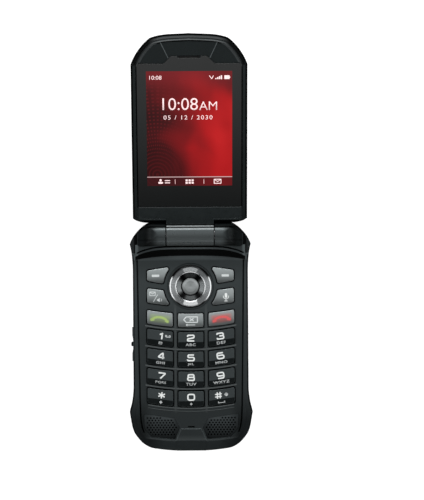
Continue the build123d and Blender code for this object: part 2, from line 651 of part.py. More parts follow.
# screws of the keypad half
screws = []
for x, b in SCREWS:
    s = cz(x, b - YB, 0.35, 1.5, 1.6) + cz(x, b - YB, 1.4, 10.0, 0.83)
    s = s - extrude(Pos(x, b - YB, 0.2) * RegularPolygon(0.85, 6), amount=0.75, dir=(0, 0, 1))
    screws.append(solid_of(s))
save("base_screws", *screws)

# main board with its side notches
board = bx(-22.6, 22.6, 23.2, 87.8, BOARD_Z0, BOARD_Z1) + bx(-6.0, 6.0, 8.5, 23.4, BOARD_Z0, BOARD_Z1) + \
    bx(-18.5, 18.5, 87.5, 93.2, BOARD_Z0, BOARD_Z1)
board = fillet(board.edges().filter_by(Axis.Z), 0.8)
for x, b in ((-19.5, 26), (19.5, 26), (-20.5, 84), (20.5, 84)):
    board = board - cz(x, b - YB, 7, 9, 0.9)
save("main_board", solid_of(board))
can = rbx(-19.5, -7.0, 82.5, 92.6, 4.6, BOARD_Z0, 0.6) - bx(-19.2, -7.3, 82.8, 92.3, 4.9, BOARD_Z0 + 1)
save("shield_can", solid_of(can))
card = rbx(7.0, 19.6, 82.3, 92.8, 5.2, BOARD_Z0, 0.4) - bx(7.5, 19.1, 81.5, 91.8, 5.6, 6.5)
save("card_socket", solid_of(card))

# dome sheet: a thin sheet with a snap dome under every key
sheet = rbx(-21.3, 21.3, 23.6, 87.6, BOARD_Z1, BOARD_Z1 + 0.15, 1.0)
key_centres = []
for name, (face, col, row) in KEYS.items():
    c = face.center()
    key_centres.append((c.X, c.Y))
nav_centres = [(0, NY), (7.8, NY), (-7.8, NY), (0, NY + 7.8), (0, NY - 7.8)]
for x, y in key_centres + nav_centres:
    sheet = sheet + cz(x, y, BOARD_Z1, BOARD_Z1 + 0.38, 1.9)
save("dome_sheet", solid_of(sheet))

# silicone key web with a plunger over every dome
web = rbx(-22.4, 22.4, 19.6 + 2.9, 88.6, 9.35, KEY_FOOT, 1.5)
for x, y in key_centres + nav_centres:
    web = web + cz(x, y, BOARD_Z1 + 0.4, 9.5, 0.8)
web = web - bx(21.35, 23, 44.6, 54.0, 9, 11)
save("keypad_web", solid_of(web))

# loudspeakers, grilles, microphone
speakers, grilles = [], []
for side in (-1, 1):
    xa, xb = sorted((side * 7.4, side * 20.4))
    s = rbx(xa, xb, 5.6, 16.2, 7.6, 10.9, 1.6) + rbx(xa + 0.8, xb - 0.8, 6.4, 15.4, 10.8, 11.4, 1.2)
    s = s - rbx(xa + 1.8, xb - 1.8, 7.4, 14.4, 11.0, 12.0, 1.0)
    speakers.append(solid_of(s))
    g = extrude(grille_face(side, -0.12, DECK_Z - 0.93), amount=0.55, dir=(0, 0, 1))
    holes = []
    inner = grille_face(side, -0.95, 0.0)
    pts2 = []
    for i in range(-2, 16):
        for j in range(-2, 14):
            x = side * (5.0 + 1.5 * i + (0.75 if j % 2 else 0.0))
            y = 5.4 + 1.12 * j - YB
            pts2.append((x, y))
    face0 = inner if isinstance(inner, Face) else inner.faces()[0]
    for x, y in pts2:
        if face0.is_inside((x, y, 0)):
            holes.append(Pos(x, y, DECK_Z - 0.65) * Cylinder(0.42, 1.6))
    g = g - holes
    grilles.append(solid_of(g))
save("loudspeakers", *speakers)
save("speaker_grilles", *grilles)
mic = cz(0, 11.3 - YB, BOARD_Z1, 10.4, 2.2) + cz(0, 11.3 - YB, 10.3, 11.45, 2.7)
mic = mic - rbx(-1.65, 1.65, 10.95, 11.65, 10.2, 12, 0.34)
save("microphone", solid_of(mic))

# USB receptacle on the board
usb = rbx(21.5, 26.45, 45.6, 53.0, BOARD_Z1, 10.9, 0.1)
usb = usb - bx(22.2, 27.5, 46.0, 52.6, BOARD_Z1 + 0.45, 10.5) + bx(22.0, 26.05, 47.3, 51.3, 9.2, 9.7)
save("usb_receptacle", solid_of(usb))

# vibration motor with its eccentric weight
VM_Z = 4.95
motor = cy(0, VM_Z, 9.6 - YB, 17.6 - YB, 2.0) + bx(-2.0, 2.0, 9.8, 17.4, 2.62, 4.95)
motor = motor - cy(0, VM_Z, 9.0 - YB, 14.0 - YB, 0.46)
save("vibration_motor", solid_of(motor))
weight = cy(0, VM_Z, 5.8 - YB, 9.1 - YB, 2.1) - bx(-3, 3, 5, 10, VM_Z + 0.45, 9)
weight = weight + cy(0, VM_Z, 5.8 - YB, 13.6 - YB, 0.4) + cy(0, VM_Z, 5.8 - YB, 9.1 - YB, 0.75)
save("vibration_weight", solid_of(weight))

# antenna carrier in the hinge end of the rear housing
antenna = rbx(-18.0, 18.0, 95.2, 103.6, 2.65, 5.6, 1.5) - rbx(-16.6, 16.6, 96.6, 102.2, 2.0, 4.6, 0.8)
save("antenna", solid_of(antenna))

# hinge parts that stay with the keypad half
pin = cx(AXIS_Y, AXIS_Z, -20.5, -11.55, 2.5) + cx(AXIS_Y, AXIS_Z, -11.7, -7.9, 1.5)
save("hinge_drive_pin", solid_of(pin))
bush = cx(AXIS_Y, AXIS_Z, 6.2, 19.0, 2.9) - cx(AXIS_Y, AXIS_Z, 5, 21, 2.2)
save("hinge_bush", solid_of(bush))

# ------------------------------------------------------------- display half
LID_PLACE = Pos(0, AXIS_Y, AXIS_Z) * Rot(OPEN_TILT, 0, 0)

inner = lid_loft([(LID_PART, 0.0), (0.35, 0.05), (0.85, 0.45), (LID_IN, 1.0)])
panel_cut = extrude(lid_face(2.45, PANEL_Z), amount=2, dir=(0, 0, 1)) & bv(-30, 30, 2.0, 79.6, -1, 3)
inner = inner - panel_cut
# the side rims run out at the hinge end
inner = inner - bv(-30, 30, 4.0, 8.8, PANEL_Z, 3) - \
    (extrude(lid_face(2.1, 0.7), amount=2, dir=(0, 0, 1)) - extrude(lid_face(2.45, 0.6), amount=3, dir=(0, 0, 1)))
# top trim: a ridge, a step and the panel with its two creases
trim_cut = loft([lid_face(3.7, 0.42), lid_face(3.05, LID_IN + 0.01)], ruled=True) & bv(-30, 30, 79.4, 95, -1, 3)
inner = inner - trim_cut
inner = inner + (extrude(lid_face(3.6, 0.3), amount=0.28, dir=(0, 0, 1)) &
                 prism([(-14.0, 91), (14.0, 91), (9.9, 82.6), (8.6, 79.3), (-8.6, 79.3), (-9.9, 82.6)], 0.0, 3))
inner = inner - bv(-30, 30, 79.3, 79.9, 0.35, 3)
# raised creases of the top trim
for sx in (1, -1):
    for (xa, va), (xb, vb) in (((14.0, 91.0), (9.9, 82.6)), ((9.9, 82.6), (8.6, 79.9))):
        dx, dv = xb - xa, vb - va
        n = math.hypot(dx, dv)
        ox, ov = -dv / n * 0.17, dx / n * 0.17
        ridge = prism([(sx * (xa + ox), va + ov), (sx * (xb + ox), vb + ov), (sx * (xb - ox), vb - ov),
                       (sx * (xa - ox), va - ov)], 0.35, 0.68)
        inner = inner + (ridge & extrude(lid_face(3.3, 0.2), amount=1.0, dir=(0, 0, 1)))
# dark slot inside the end rim
slot = extrude(lid_face(2.1, LID_IN - 0.4), amount=2, dir=(0, 0, 1)) - \
    extrude(lid_face(2.5, LID_IN - 0.5), amount=3, dir=(0, 0, 1))
inner = inner - (slot & bv(-30, 30, 79.4, 95, 0, 3))
# chamfer where the housing meets the shoulders
inner = inner - yz_prism([(7.0, PANEL_Z + 0.01), (7.0, 3), (0, 3), (0, -1.75), (5.4, -1.75)], -30, 30)
# knuckle and neck
neck = yz_prism([(0, PANEL_Z), (8.6, PANEL_Z), (8.6, LID_OUT + 0.05), (6.6, LID_OUT + 0.05), (5.0, -7.35),
                 (0, -BARREL_R)], -KNUCKLE_X, KNUCKLE_X)
neck = neck + cx(0, 0, -KNUCKLE_X, KNUCKLE_X, BARREL_R)
inner = inner + neck
# lens seat with the tab for the earpiece
LENS_PTS = [(-LENS_X, LENS_V0), (LENS_X, LENS_V0), (LENS_X, LENS_V1), (11.8, LENS_V1), (8.3, LENS_TAB),
            (5.6, LENS_TAB), (5.0, LENS_TAB - 0.85), (-5.0, LENS_TAB - 0.85), (-5.6, LENS_TAB),
            (-8.3, LENS_TAB), (-11.8, LENS_V1), (-LENS_X, LENS_V1)]
SEAT_PTS = [(-LENS_X - 0.15, LENS_V0 - 0.15), (LENS_X + 0.15, LENS_V0 - 0.15), (LENS_X + 0.15, LENS_V1 + 0.15),
            (11.9, LENS_V1 + 0.15), (8.4, LENS_TAB + 0.2), (-8.4, LENS_TAB + 0.2), (-11.9, LENS_V1 + 0.15),
            (-LENS_X - 0.15, LENS_V1 + 0.15)]
inner = inner - prism(SEAT_PTS, LENS_Z0 - 0.02, 3)
# display window, inside space, earpiece slot
inner = inner - bv(-20.45, 20.45, 21.6, 77.4, -3, 1)
inner = inner - (extrude(lid_face(1.8, LID_PART - 0.1), amount=1.5, dir=(0, 0, 1)) & bv(-30, 30, 9.6, 90.5, -4, 0))
inner = inner - rbv(-4.8, 4.8, 81.95, 82.95, -2, 1.5, 0.35)
# screw posts and holes under the lens
LSCREWS = [(-22.2, 17.0), (22.2, 17.0), (-22.2, 76.6), (22.2, 76.6)]
for x, v in LSCREWS:
    inner = inner + (cz(x, v, LID_PART, -1.0, 1.7) & lid_loft([(LID_PART, 0.3), (0, 0.3)]))
for x, v in LSCREWS:
    inner = inner - cz(x, v, -0.95, 1.5, 1.5) - cz(x, v, -4, 1, 0.9)
# hinge bores and the flat cable slot
inner = inner - cx(0, 0, -12, 3.2, 3.45) - cx(0, 0, 3.0, 12, 2.3) - cx(0, 0, 5.6, 12, 2.96)
inner = inner - bv(3.5, 5.3, 0.5, 13.0, -1.3, -0.4)
inner = solid_of(inner)
placed = LID_PLACE * inner
# the knuckle's stepped crest: a fine groove and a flat behind it
placed = placed + yz_prism([(51.3, 18.6), (51.3, 19.93), (52.1, 19.52), (52.4, 18.9), (52.2, 18.6)], -KNUCKLE_X, KNUCKLE_X)
placed = placed - yz_prism([(50.98, 19.75), (50.98, 21), (51.3, 21), (51.3, 19.6)], -KNUCKLE_X - 1, KNUCKLE_X + 1)
save("lid_inner_housing", solid_of(placed))

outer_lid = lid_loft([(LID_OUT, 3.4), (-7.2, 1.7), (-5.6, 0.5), (LID_PART, 0.0)])
outer_lid = outer_lid - (extrude(lid_face(1.8, -6.3), amount=5, dir=(0, 0, 1)) & bv(-30, 30, 9.6, 90.5, -9, 0))
outer_lid = outer_lid - bv(-KNUCKLE_X - 0.05, KNUCKLE_X + 0.05, 0, 8.65, -9, 0) - cx(0, 0, -30, 30, BARREL_R + 0.2)
for x, v in LSCREWS:
    outer_lid = outer_lid + (cz(x, v, -7.0, LID_PART, 1.7) & lid_loft([(LID_OUT, 3.4), (-7.2, 1.7), (-5.6, 0.5), (LID_PART, 0.0)]))
for x, v in LSCREWS:
    outer_lid = outer_lid - cz(x, v, -6.0, 0, 0.75)
# window of the outer lens, with the camera hole behind it
OL = (-13.0, 13.0, 16.0, 58.0)
outer_lid = outer_lid - rbv(OL[0] - 0.15, OL[1] + 0.15, OL[2] - 0.15, OL[3] + 0.15, -9, -6.9, 3.1)
outer_lid = outer_lid - rbv(-11.4, 11.4, 31.0, 55.0, -8, -6, 1.0) - cz(0, 23.5, -8, -6, 4.1)
# two shallow ribs on the far end of the outer face
for v in (66.0, 70.0, 74.0):
    outer_lid = outer_lid - rbv(-12, 12, v, v + 1.2, -8.5, LID_OUT + 0.35, 0.5)
save("lid_outer_housing", LID_PLACE * solid_of(outer_lid))

lens = prism(LENS_PTS, LENS_Z0, LENS_Z1)
lens = soft_edges(lens, [e for e in lens.edges() if e.center().Z > LENS_Z1 - 0.01], [0.12, 0.06])
save("main_lens", LID_PLACE * solid_of(lens))

disp = rbv(-20.3, 20.3, 21.8, 77.2, -2.4, LENS_Z0 - 0.02, 0.5)
disp = disp + bv(-6.5, 6.5, 20.4, 22.0, -2.2, -1.9)
save("display_module", LID_PLACE * solid_of(disp))

olens = rbv(*OL, LID_OUT, -6.95, 3.0)
olens = soft_edges(olens, [e for e in olens.edges() if e.center().Z < LID_OUT + 0.01], [0.15, 0.08])
save("outer_lens", LID_PLACE * solid_of(olens))
odisp = rbv(-11.2, 11.2, 31.2, 54.8, -6.93, -5.2, 0.5)
save("outer_display", LID_PLACE * solid_of(odisp))
cam = cz(0, 23.5, -6.93, -5.0, 3.9) + rbv(-4.6, 4.6, 18.9, 28.1, -5.2, -4.35, 0.5)
cam = cam - (Pos(0, 23.5, -6.9) * Cone(1.2, 2.4, 0.9, rotation=(180, 0, 0)))
save("camera_module", LID_PLACE * solid_of(cam))
ear = rbv(-6.6, 6.6, 81.4, 87.2, -3.9, -1.22, 1.2)
ear = ear - rbv(-4.8, 4.8, 81.95, 82.95, -1.8, 0, 0.35)
save("earpiece", LID_PLACE * solid_of(ear))
lboard = rbv(-19.0, 19.0, 12.0, 79.5, -4.3, -3.6, 1.0)
lboard = lboard + rbv(8.0, 15.0, 60.0, 70.0, -5.4, -4.2, 0.3) + rbv(-14, -8, 60, 66, -5.2, -4.2, 0.3)
save("lid_board", LID_PLACE * solid_of(lboard))
lscrews = []
for x, v in LSCREWS:
    s = cz(x, v, -0.9, -0.25, 1.4) + cz(x, v, -5.9, -0.8, 0.73)
    s = s - (Pos(x, v, -0.3) * Box(1.6, 0.4, 0.5)) - (Pos(x, v, -0.3) * Box(0.4, 1.6, 0.5))
    lscrews.append(LID_PLACE * solid_of(s))
save("lid_screws", *lscrews)
cart = cx(0, 0, -11.0, 3.0, 3.4) - cx(0, 0, -12, -7.5, 1.56)
save("hinge_cartridge", LID_PLACE * solid_of(cart))
flex = cx(0, 0, 3.4, 20.4, 1.9) - cx(0, 0, 3, 21, 1.65)
flex = flex + bv(3.7, 5.1, 1.7, 12.6, -0.85, -0.65) + bv(3.7, 5.1, 12.4, 12.6, -3.58, -0.65)
save("lid_flex", LID_PLACE * solid_of(flex))

print("nodes:", len(SAVED))
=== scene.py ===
import bpy
import bmesh
import json
import math
from mathutils import Matrix, Vector


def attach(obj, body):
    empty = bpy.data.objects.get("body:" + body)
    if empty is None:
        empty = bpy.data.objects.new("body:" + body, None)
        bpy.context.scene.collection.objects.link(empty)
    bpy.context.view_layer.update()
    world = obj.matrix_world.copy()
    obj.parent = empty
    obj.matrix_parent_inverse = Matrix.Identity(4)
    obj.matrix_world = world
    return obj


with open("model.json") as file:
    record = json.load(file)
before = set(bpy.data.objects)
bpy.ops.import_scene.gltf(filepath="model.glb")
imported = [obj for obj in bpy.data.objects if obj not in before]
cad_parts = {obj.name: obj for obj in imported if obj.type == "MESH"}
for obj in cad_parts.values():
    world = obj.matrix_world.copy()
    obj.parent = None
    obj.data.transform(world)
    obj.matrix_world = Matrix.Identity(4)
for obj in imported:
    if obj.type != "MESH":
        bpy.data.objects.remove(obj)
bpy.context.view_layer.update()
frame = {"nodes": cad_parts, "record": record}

N = frame["nodes"]
scn = bpy.context.scene
MM = 0.001
YB = 54.5
AXIS_Y, AXIS_Z, TILT = 48.0, 16.0, math.radians(10.0)


# ------------------------------------------------------------------ camera
cam_data = bpy.data.cameras.new("camera")
cam = bpy.data.objects.new("camera", cam_data)
scn.collection.objects.link(cam)
cam.location = (0.0, 0.0407, 0.5135)
cam.rotation_euler = (0.0, 0.0, math.radians(-0.38))
cam_data.sensor_width = 36.0
cam_data.lens = 75.95
cam_data.shift_x = 0.0436
cam_data.clip_start = 0.01
cam_data.clip_end = 50.0
cam_data.dof.use_dof = False
scn.camera = cam
scn.view_settings.view_transform = "Standard"
scn.view_settings.look = "None"


# ---------------------------------------------------------- shader helpers
def colour(c):
    if isinstance(c, (int, float)):
        return (c, c, c, 1.0)
    return tuple(c) if len(c) == 4 else (c[0], c[1], c[2], 1.0)


def scaled(c, k):
    return tuple(v * k for v in c)


class Tree:
    """Small wrapper that makes node trees short to write."""

    def __init__(self, nt):
        self.nt = nt
        nt.nodes.clear()

    def n(self, kind, **props):
        node = self.nt.nodes.new(kind)
        for k, v in props.items():
            setattr(node, k, v)
        return node

    def link(self, a, b):
        self.nt.links.new(a, b)

    def coords(self):
        return self.n("ShaderNodeTexCoord").outputs["Object"]

    def noise(self, vec, scale, detail=3.0, rough=0.55, dist=0.0):
        t = self.n("ShaderNodeTexNoise")
        t.inputs["Scale"].default_value = scale
        t.inputs["Detail"].default_value = detail
        t.inputs["Roughness"].default_value = rough
        t.inputs["Distortion"].default_value = dist
        self.link(vec, t.inputs["Vector"])
        return t.outputs["Fac"]

    def voronoi(self, vec, scale, feature="F1"):
        t = self.n("ShaderNodeTexVoronoi", feature=feature)
        t.inputs["Scale"].default_value = scale
        self.link(vec, t.inputs["Vector"])
        return t.outputs["Distance"]

    def math(self, op, a, b=None, clamp=False):
        m = self.n("ShaderNodeMath", operation=op, use_clamp=clamp)
        for i, v in enumerate((a, b)):
            if v is None:
                continue
            if isinstance(v, (int, float)):
                m.inputs[i].default_value = v
            else:
                self.link(v, m.inputs[i])
        return m.outputs[0]

    def mul(self, *vals):
        out = vals[0]
        for v in vals[1:]:
            out = self.math("MULTIPLY", out, v)
        return out

    def ramp(self, fac, stops, interp="LINEAR"):
        r = self.n("ShaderNodeValToRGB")
        r.color_ramp.interpolation = interp
        el = r.color_ramp.elements
        while len(el) > 1:
            el.remove(el[-1])
        el[0].position = stops[0][0]
        el[0].color = colour(stops[0][1])
        for p, c in stops[1:]:
            e = el.new(p)
            e.color = colour(c)
        self.link(fac, r.inputs["Fac"])
        return r.outputs["Color"]

    def remap(self, fac, a, b, c, d, smooth=False):
        m = self.n("ShaderNodeMapRange", clamp=True)
        if smooth:
            m.interpolation_type = "SMOOTHSTEP"
        m.inputs["From Min"].default_value = a
        m.inputs["From Max"].default_value = b
        m.inputs["To Min"].default_value = c
        m.inputs["To Max"].default_value = d
        self.link(fac, m.inputs["Value"])
        return m.outputs["Result"]

    def step(self, v, edge, soft=0.00005):
        return self.remap(v, edge - soft, edge + soft, 0.0, 1.0)

    def below(self, v, edge, soft=0.00005):
        return self.remap(v, edge - soft, edge + soft, 1.0, 0.0)

    def mix(self, fac, a, b, mode="MIX"):
        m = self.n("ShaderNodeMix", data_type="RGBA", blend_type=mode)
        m.clamp_result = False
        for sock, v in ((m.inputs[0], fac), (m.inputs[6], a), (m.inputs[7], b)):
            if isinstance(v, (int, float)):
                sock.default_value = v
            elif isinstance(v, (tuple, list)):
                sock.default_value = colour(v)
            else:
                self.link(v, sock)
        return m.outputs[2]

    def blend(self, fac, a, b):
        """Mix of two plain numbers."""
        m = self.n("ShaderNodeMix", data_type="FLOAT")
        for sock, v in ((m.inputs[0], fac), (m.inputs[2], a), (m.inputs[3], b)):
            if isinstance(v, (int, float)):
                sock.default_value = v
            else:
                self.link(v, sock)
        return m.outputs[0]

    def xyz(self, vec):
        s = self.n("ShaderNodeSeparateXYZ")
        self.link(vec, s.inputs[0])
        return s.outputs[0], s.outputs[1], s.outputs[2]

    def onormal(self):
        """Surface normal in the piece's own frame."""
        return self.xyz(self.n("ShaderNodeTexCoord").outputs["Normal"])

    def bump(self, height, strength, distance, normal=None):
        b = self.n("ShaderNodeBump")
        b.inputs["Strength"].default_value = strength
        b.inputs["Distance"].default_value = distance
        self.link(height, b.inputs["Height"])
        if normal is not None:
            self.link(normal, b.inputs["Normal"])
        return b.outputs["Normal"]

    def rounded(self, radius):
        b = self.n("ShaderNodeBevel")
        b.samples = 4
        b.inputs["Radius"].default_value = radius
        return b.outputs["Normal"]

    def edge_wear(self, rounded):
        """1 along convex and concave edges, 0 on faces."""
        g = self.n("ShaderNodeNewGeometry").outputs["Normal"]
        d = self.n("ShaderNodeVectorMath", operation="DOT_PRODUCT")
        self.link(g, d.inputs[0])
        self.link(rounded, d.inputs[1])
        return self.remap(d.outputs["Value"], 0.995, 0.86, 0.0, 1.0)

    def surface(self, **values):
        p = self.n("ShaderNodeBsdfPrincipled")
        out = self.n("ShaderNodeOutputMaterial")
        self.link(p.outputs[0], out.inputs["Surface"])
        for k, v in values.items():
            name = k.replace("_", " ")
            if isinstance(v, (int, float)):
                p.inputs[name].default_value = v
            elif isinstance(v, (tuple, list)):
                p.inputs[name].default_value = colour(v)
            else:
                self.link(v, p.inputs[name])
        return p


def plastic(name, col, rough, grain=5200.0, grain_h=0.10, vary=0.16, spec=0.5, wear=0.3, coat=0.0, edge=0.00012,
            spread=0.05, masks=None):
    """Moulded plastic: mottled colour, fine grain, worn edges, handling smears."""
    m = bpy.data.materials.new(name)
    m.use_nodes = True
    t = Tree(m.node_tree)
    co = t.coords()
    big = t.noise(co, 60.0, 3.0)
    mid = t.noise(co, 420.0, 4.0, 0.6)
    fine = t.noise(co, grain, 2.0, 0.7)
    base = t.ramp(big, [(0.3, scaled(col, 1.0 - vary)), (0.7, scaled(col, 1.0 + vary))])
    base = t.mix(t.remap(fine, 0.35, 0.7, 0.0, 0.3), base, scaled(col, 1.4))
    st = t.n("ShaderNodeMapping")
    st.inputs["Scale"].default_value = (1.0, 0.22, 1.0)
    st.inputs["Rotation"].default_value = (0.0, 0.0, 0.5)
    t.link(co, st.inputs["Vector"])
    smear = t.remap(t.noise(st.outputs[0], 240.0, 5.0, 0.65, 0.6), 0.56, 0.74, 0.0, 1.0, True)
    base = t.mix(t.mul(smear, wear * 0.3), base, scaled(col, 1.6))
    r = t.remap(mid, 0.3, 0.7, rough - spread, rough + spread * 1.2)
    r = t.math("SUBTRACT", r, t.mul(smear, wear * 0.14))
    nrm = None
    if edge:
        nrm = t.rounded(edge)
        worn = t.mul(t.edge_wear(nrm), t.remap(mid, 0.35, 0.6, 0.3, 1.0))
        base = t.mix(t.mul(worn, wear), base, tuple(min(1.0, v * 2.2 + 0.006) for v in col))
    tint = None
    if masks:
        base, r, tint = masks(t, co, base, r)
    if grain_h:
        nrm = t.bump(fine, grain_h, 0.00006, nrm)
        nrm = t.bump(mid, grain_h * 0.4, 0.0001, nrm)
    values = dict(Base_Color=base, Roughness=r, Specular_IOR_Level=spec)
    if tint is not None:
        values["Specular_Tint"] = tint
    if coat:
        values["Coat_Weight"] = coat
        values["Coat_Roughness"] = 0.08
    if nrm is not None:
        values["Normal"] = nrm
    t.surface(**values)
    return m


def metal(name, col, rough, brush=(1.0, 12.0, 1.0), vary=0.1, grain_h=0.12, scale=1600.0, edge=0.0, masks=None):
    """Metal or metallic lacquer with brushing or flake and uneven polish."""
    m = bpy.data.materials.new(name)
    m.use_nodes = True
    t = Tree(m.node_tree)
    co = t.coords()
    mp = t.n("ShaderNodeMapping")
    mp.inputs["Scale"].default_value = brush
    t.link(co, mp.inputs["Vector"])
    lines = t.noise(mp.outputs[0], scale, 4.0, 0.7)
    big = t.noise(co, 300.0, 3.0)
    base = t.ramp(lines, [(0.3, scaled(col, 1 - vary)), (0.7, scaled(col, 1 + vary))])
    base = t.mix(t.remap(big, 0.5, 0.75, 0, 0.25), base, scaled(col, 0.8))
    r = t.remap(lines, 0.3, 0.7, rough - 0.05, rough + 0.07)
    nrm = None
    if edge:
        nrm = t.rounded(edge)
        worn = t.edge_wear(nrm)
        base = t.mix(t.mul(worn, 0.3), base, tuple(min(1.0, v * 1.6) for v in col))
    if masks:
        base, r = masks(t, co, base, r)
    nrm = t.bump(lines, grain_h, 0.00005, nrm)
    t.surface(Base_Color=base, Roughness=r, Metallic=1.0, Normal=nrm)
    return m


def give(names, material):
    for name in names:
        me = N[name].data
        me.materials.clear()
        me.materials.append(material)


# ------------------------------------------------------------- world, stage
world = bpy.data.worlds.new("studio")
scn.world = world
world.use_nodes = True
w = Tree(world.node_tree)
wx, wy, wz = w.xyz(w.n("ShaderNodeTexCoord").outputs["Generated"])
# an overhead softbox that fades out towards the microphone end
up = w.remap(wz, 0.55, 0.92, 0.0, 1.0, True)
front_edge = w.remap(wy, -0.36, -0.13, 0.0, 1.0, True)
back_gain = w.remap(wy, -0.05, 0.34, 1.0, 1.7, True)
box = w.mul(up, front_edge, back_gain)
low = w.remap(wz, -0.1, 0.6, 0.3, 1.0, True)
val = w.math("ADD", w.mul(box, 0.92), w.mul(low, 0.05))
wbg = w.n("ShaderNodeBackground")
wcomb = w.n("ShaderNodeCombineXYZ")
w.link(w.mul(val, 0.985), wcomb.inputs[0])
w.link(val, wcomb.inputs[1])
w.link(val, wcomb.inputs[2])
w.link(wcomb.outputs[0], wbg.inputs["Color"])
wbg.inputs["Strength"].default_value = 1.0
wo = w.n("ShaderNodeOutputWorld")
w.link(wbg.outputs[0], wo.inputs["Surface"])


def area(name, loc, target, sx, sy, radiance):
    d = bpy.data.lights.new(name, "AREA")
    d.shape = "RECTANGLE"
    d.size = sx
    d.size_y = sy
    d.energy = radiance * sx * sy * math.pi
    o = bpy.data.objects.new(name, d)
    scn.collection.objects.link(o)
    o.location = loc
    v = Vector(target) - Vector(loc)
    o.rotation_euler = v.to_track_quat("-Z", "Y").to_euler()
    return o


area("back_strip", (0.0, 0.95, 0.63), (0.0, 0.05, 0.0), 0.95, 0.20, 14.0)
area("front_fill", (0.0, -1.05, 0.50), (0.0, 0.0, 0.0), 1.3, 0.34, 2.6)
area("left_box", (-0.75, -0.10, 0.40), (0.0, 0.0, 0.0), 1.2, 0.20, 3.4)
area("right_box", (0.75, -0.10, 0.40), (0.0, 0.0, 0.0), 1.2, 0.20, 3.4)


def stage_plane(name, size, z, emission, diffuse):
    me = bpy.data.meshes.new(name)
    bm = bmesh.new()
    bmesh.ops.create_grid(bm, x_segments=8, y_segments=8, size=size)
    bm.to_mesh(me)
    bm.free()
    o = bpy.data.objects.new(name, me)
    scn.collection.objects.link(o)
    o.location = (0, 0.04, z)
    m = bpy.data.materials.new(name)
    m.use_nodes = True
    t = Tree(m.node_tree)
    t.surface(Base_Color=(diffuse, diffuse, diffuse), Roughness=0.9, Specular_IOR_Level=0.0,
              Emission_Color=(1, 1, 1), Emission_Strength=emission)
    me.materials.append(m)
    return o


floor = stage_plane("stage_floor", 3.0, -0.0001, 0.80, 0.5)
floor.visible_glossy = False
floor.visible_diffuse = False


# ---------------------------------------------------------------- materials
def dark_tint(t, dark, grey=None):
    """Specular tint that falls to black where the mask is one: painted shade in the reflections."""
    lit = t.math("SUBTRACT", 1.0, t.mul(dark, 0.97))
    if grey is not None:
        lit = t.mul(lit, grey)
    c = t.n("ShaderNodeCombineXYZ")
    for i, k in enumerate((0.84, 0.965, 1.0)):
        t.link(t.mul(lit, k), c.inputs[i])
    return c.outputs[0]


BLACK = (0.0008, 0.001, 0.001)


def grey3(t, v):
    c = t.n("ShaderNodeCombineXYZ")
    for i in range(3):
        t.link(v, c.inputs[i])
    return c.outputs[0]


def barrel_low(t, y):
    """Lower front of the hinge barrel, where the softbox no longer reaches: the mask for the painted light there."""
    return t.mul(t.step(y, 0.0428), t.remap(y, 0.0449, 0.0478, 1.0, 0.0, True))


def barrel_glare(t, y):
    """Narrow band of the hinge barrel that mirrors the front light."""
    return t.mul(t.step(y, 0.04495, 0.00012), t.below(y, 0.04580, 0.00012))


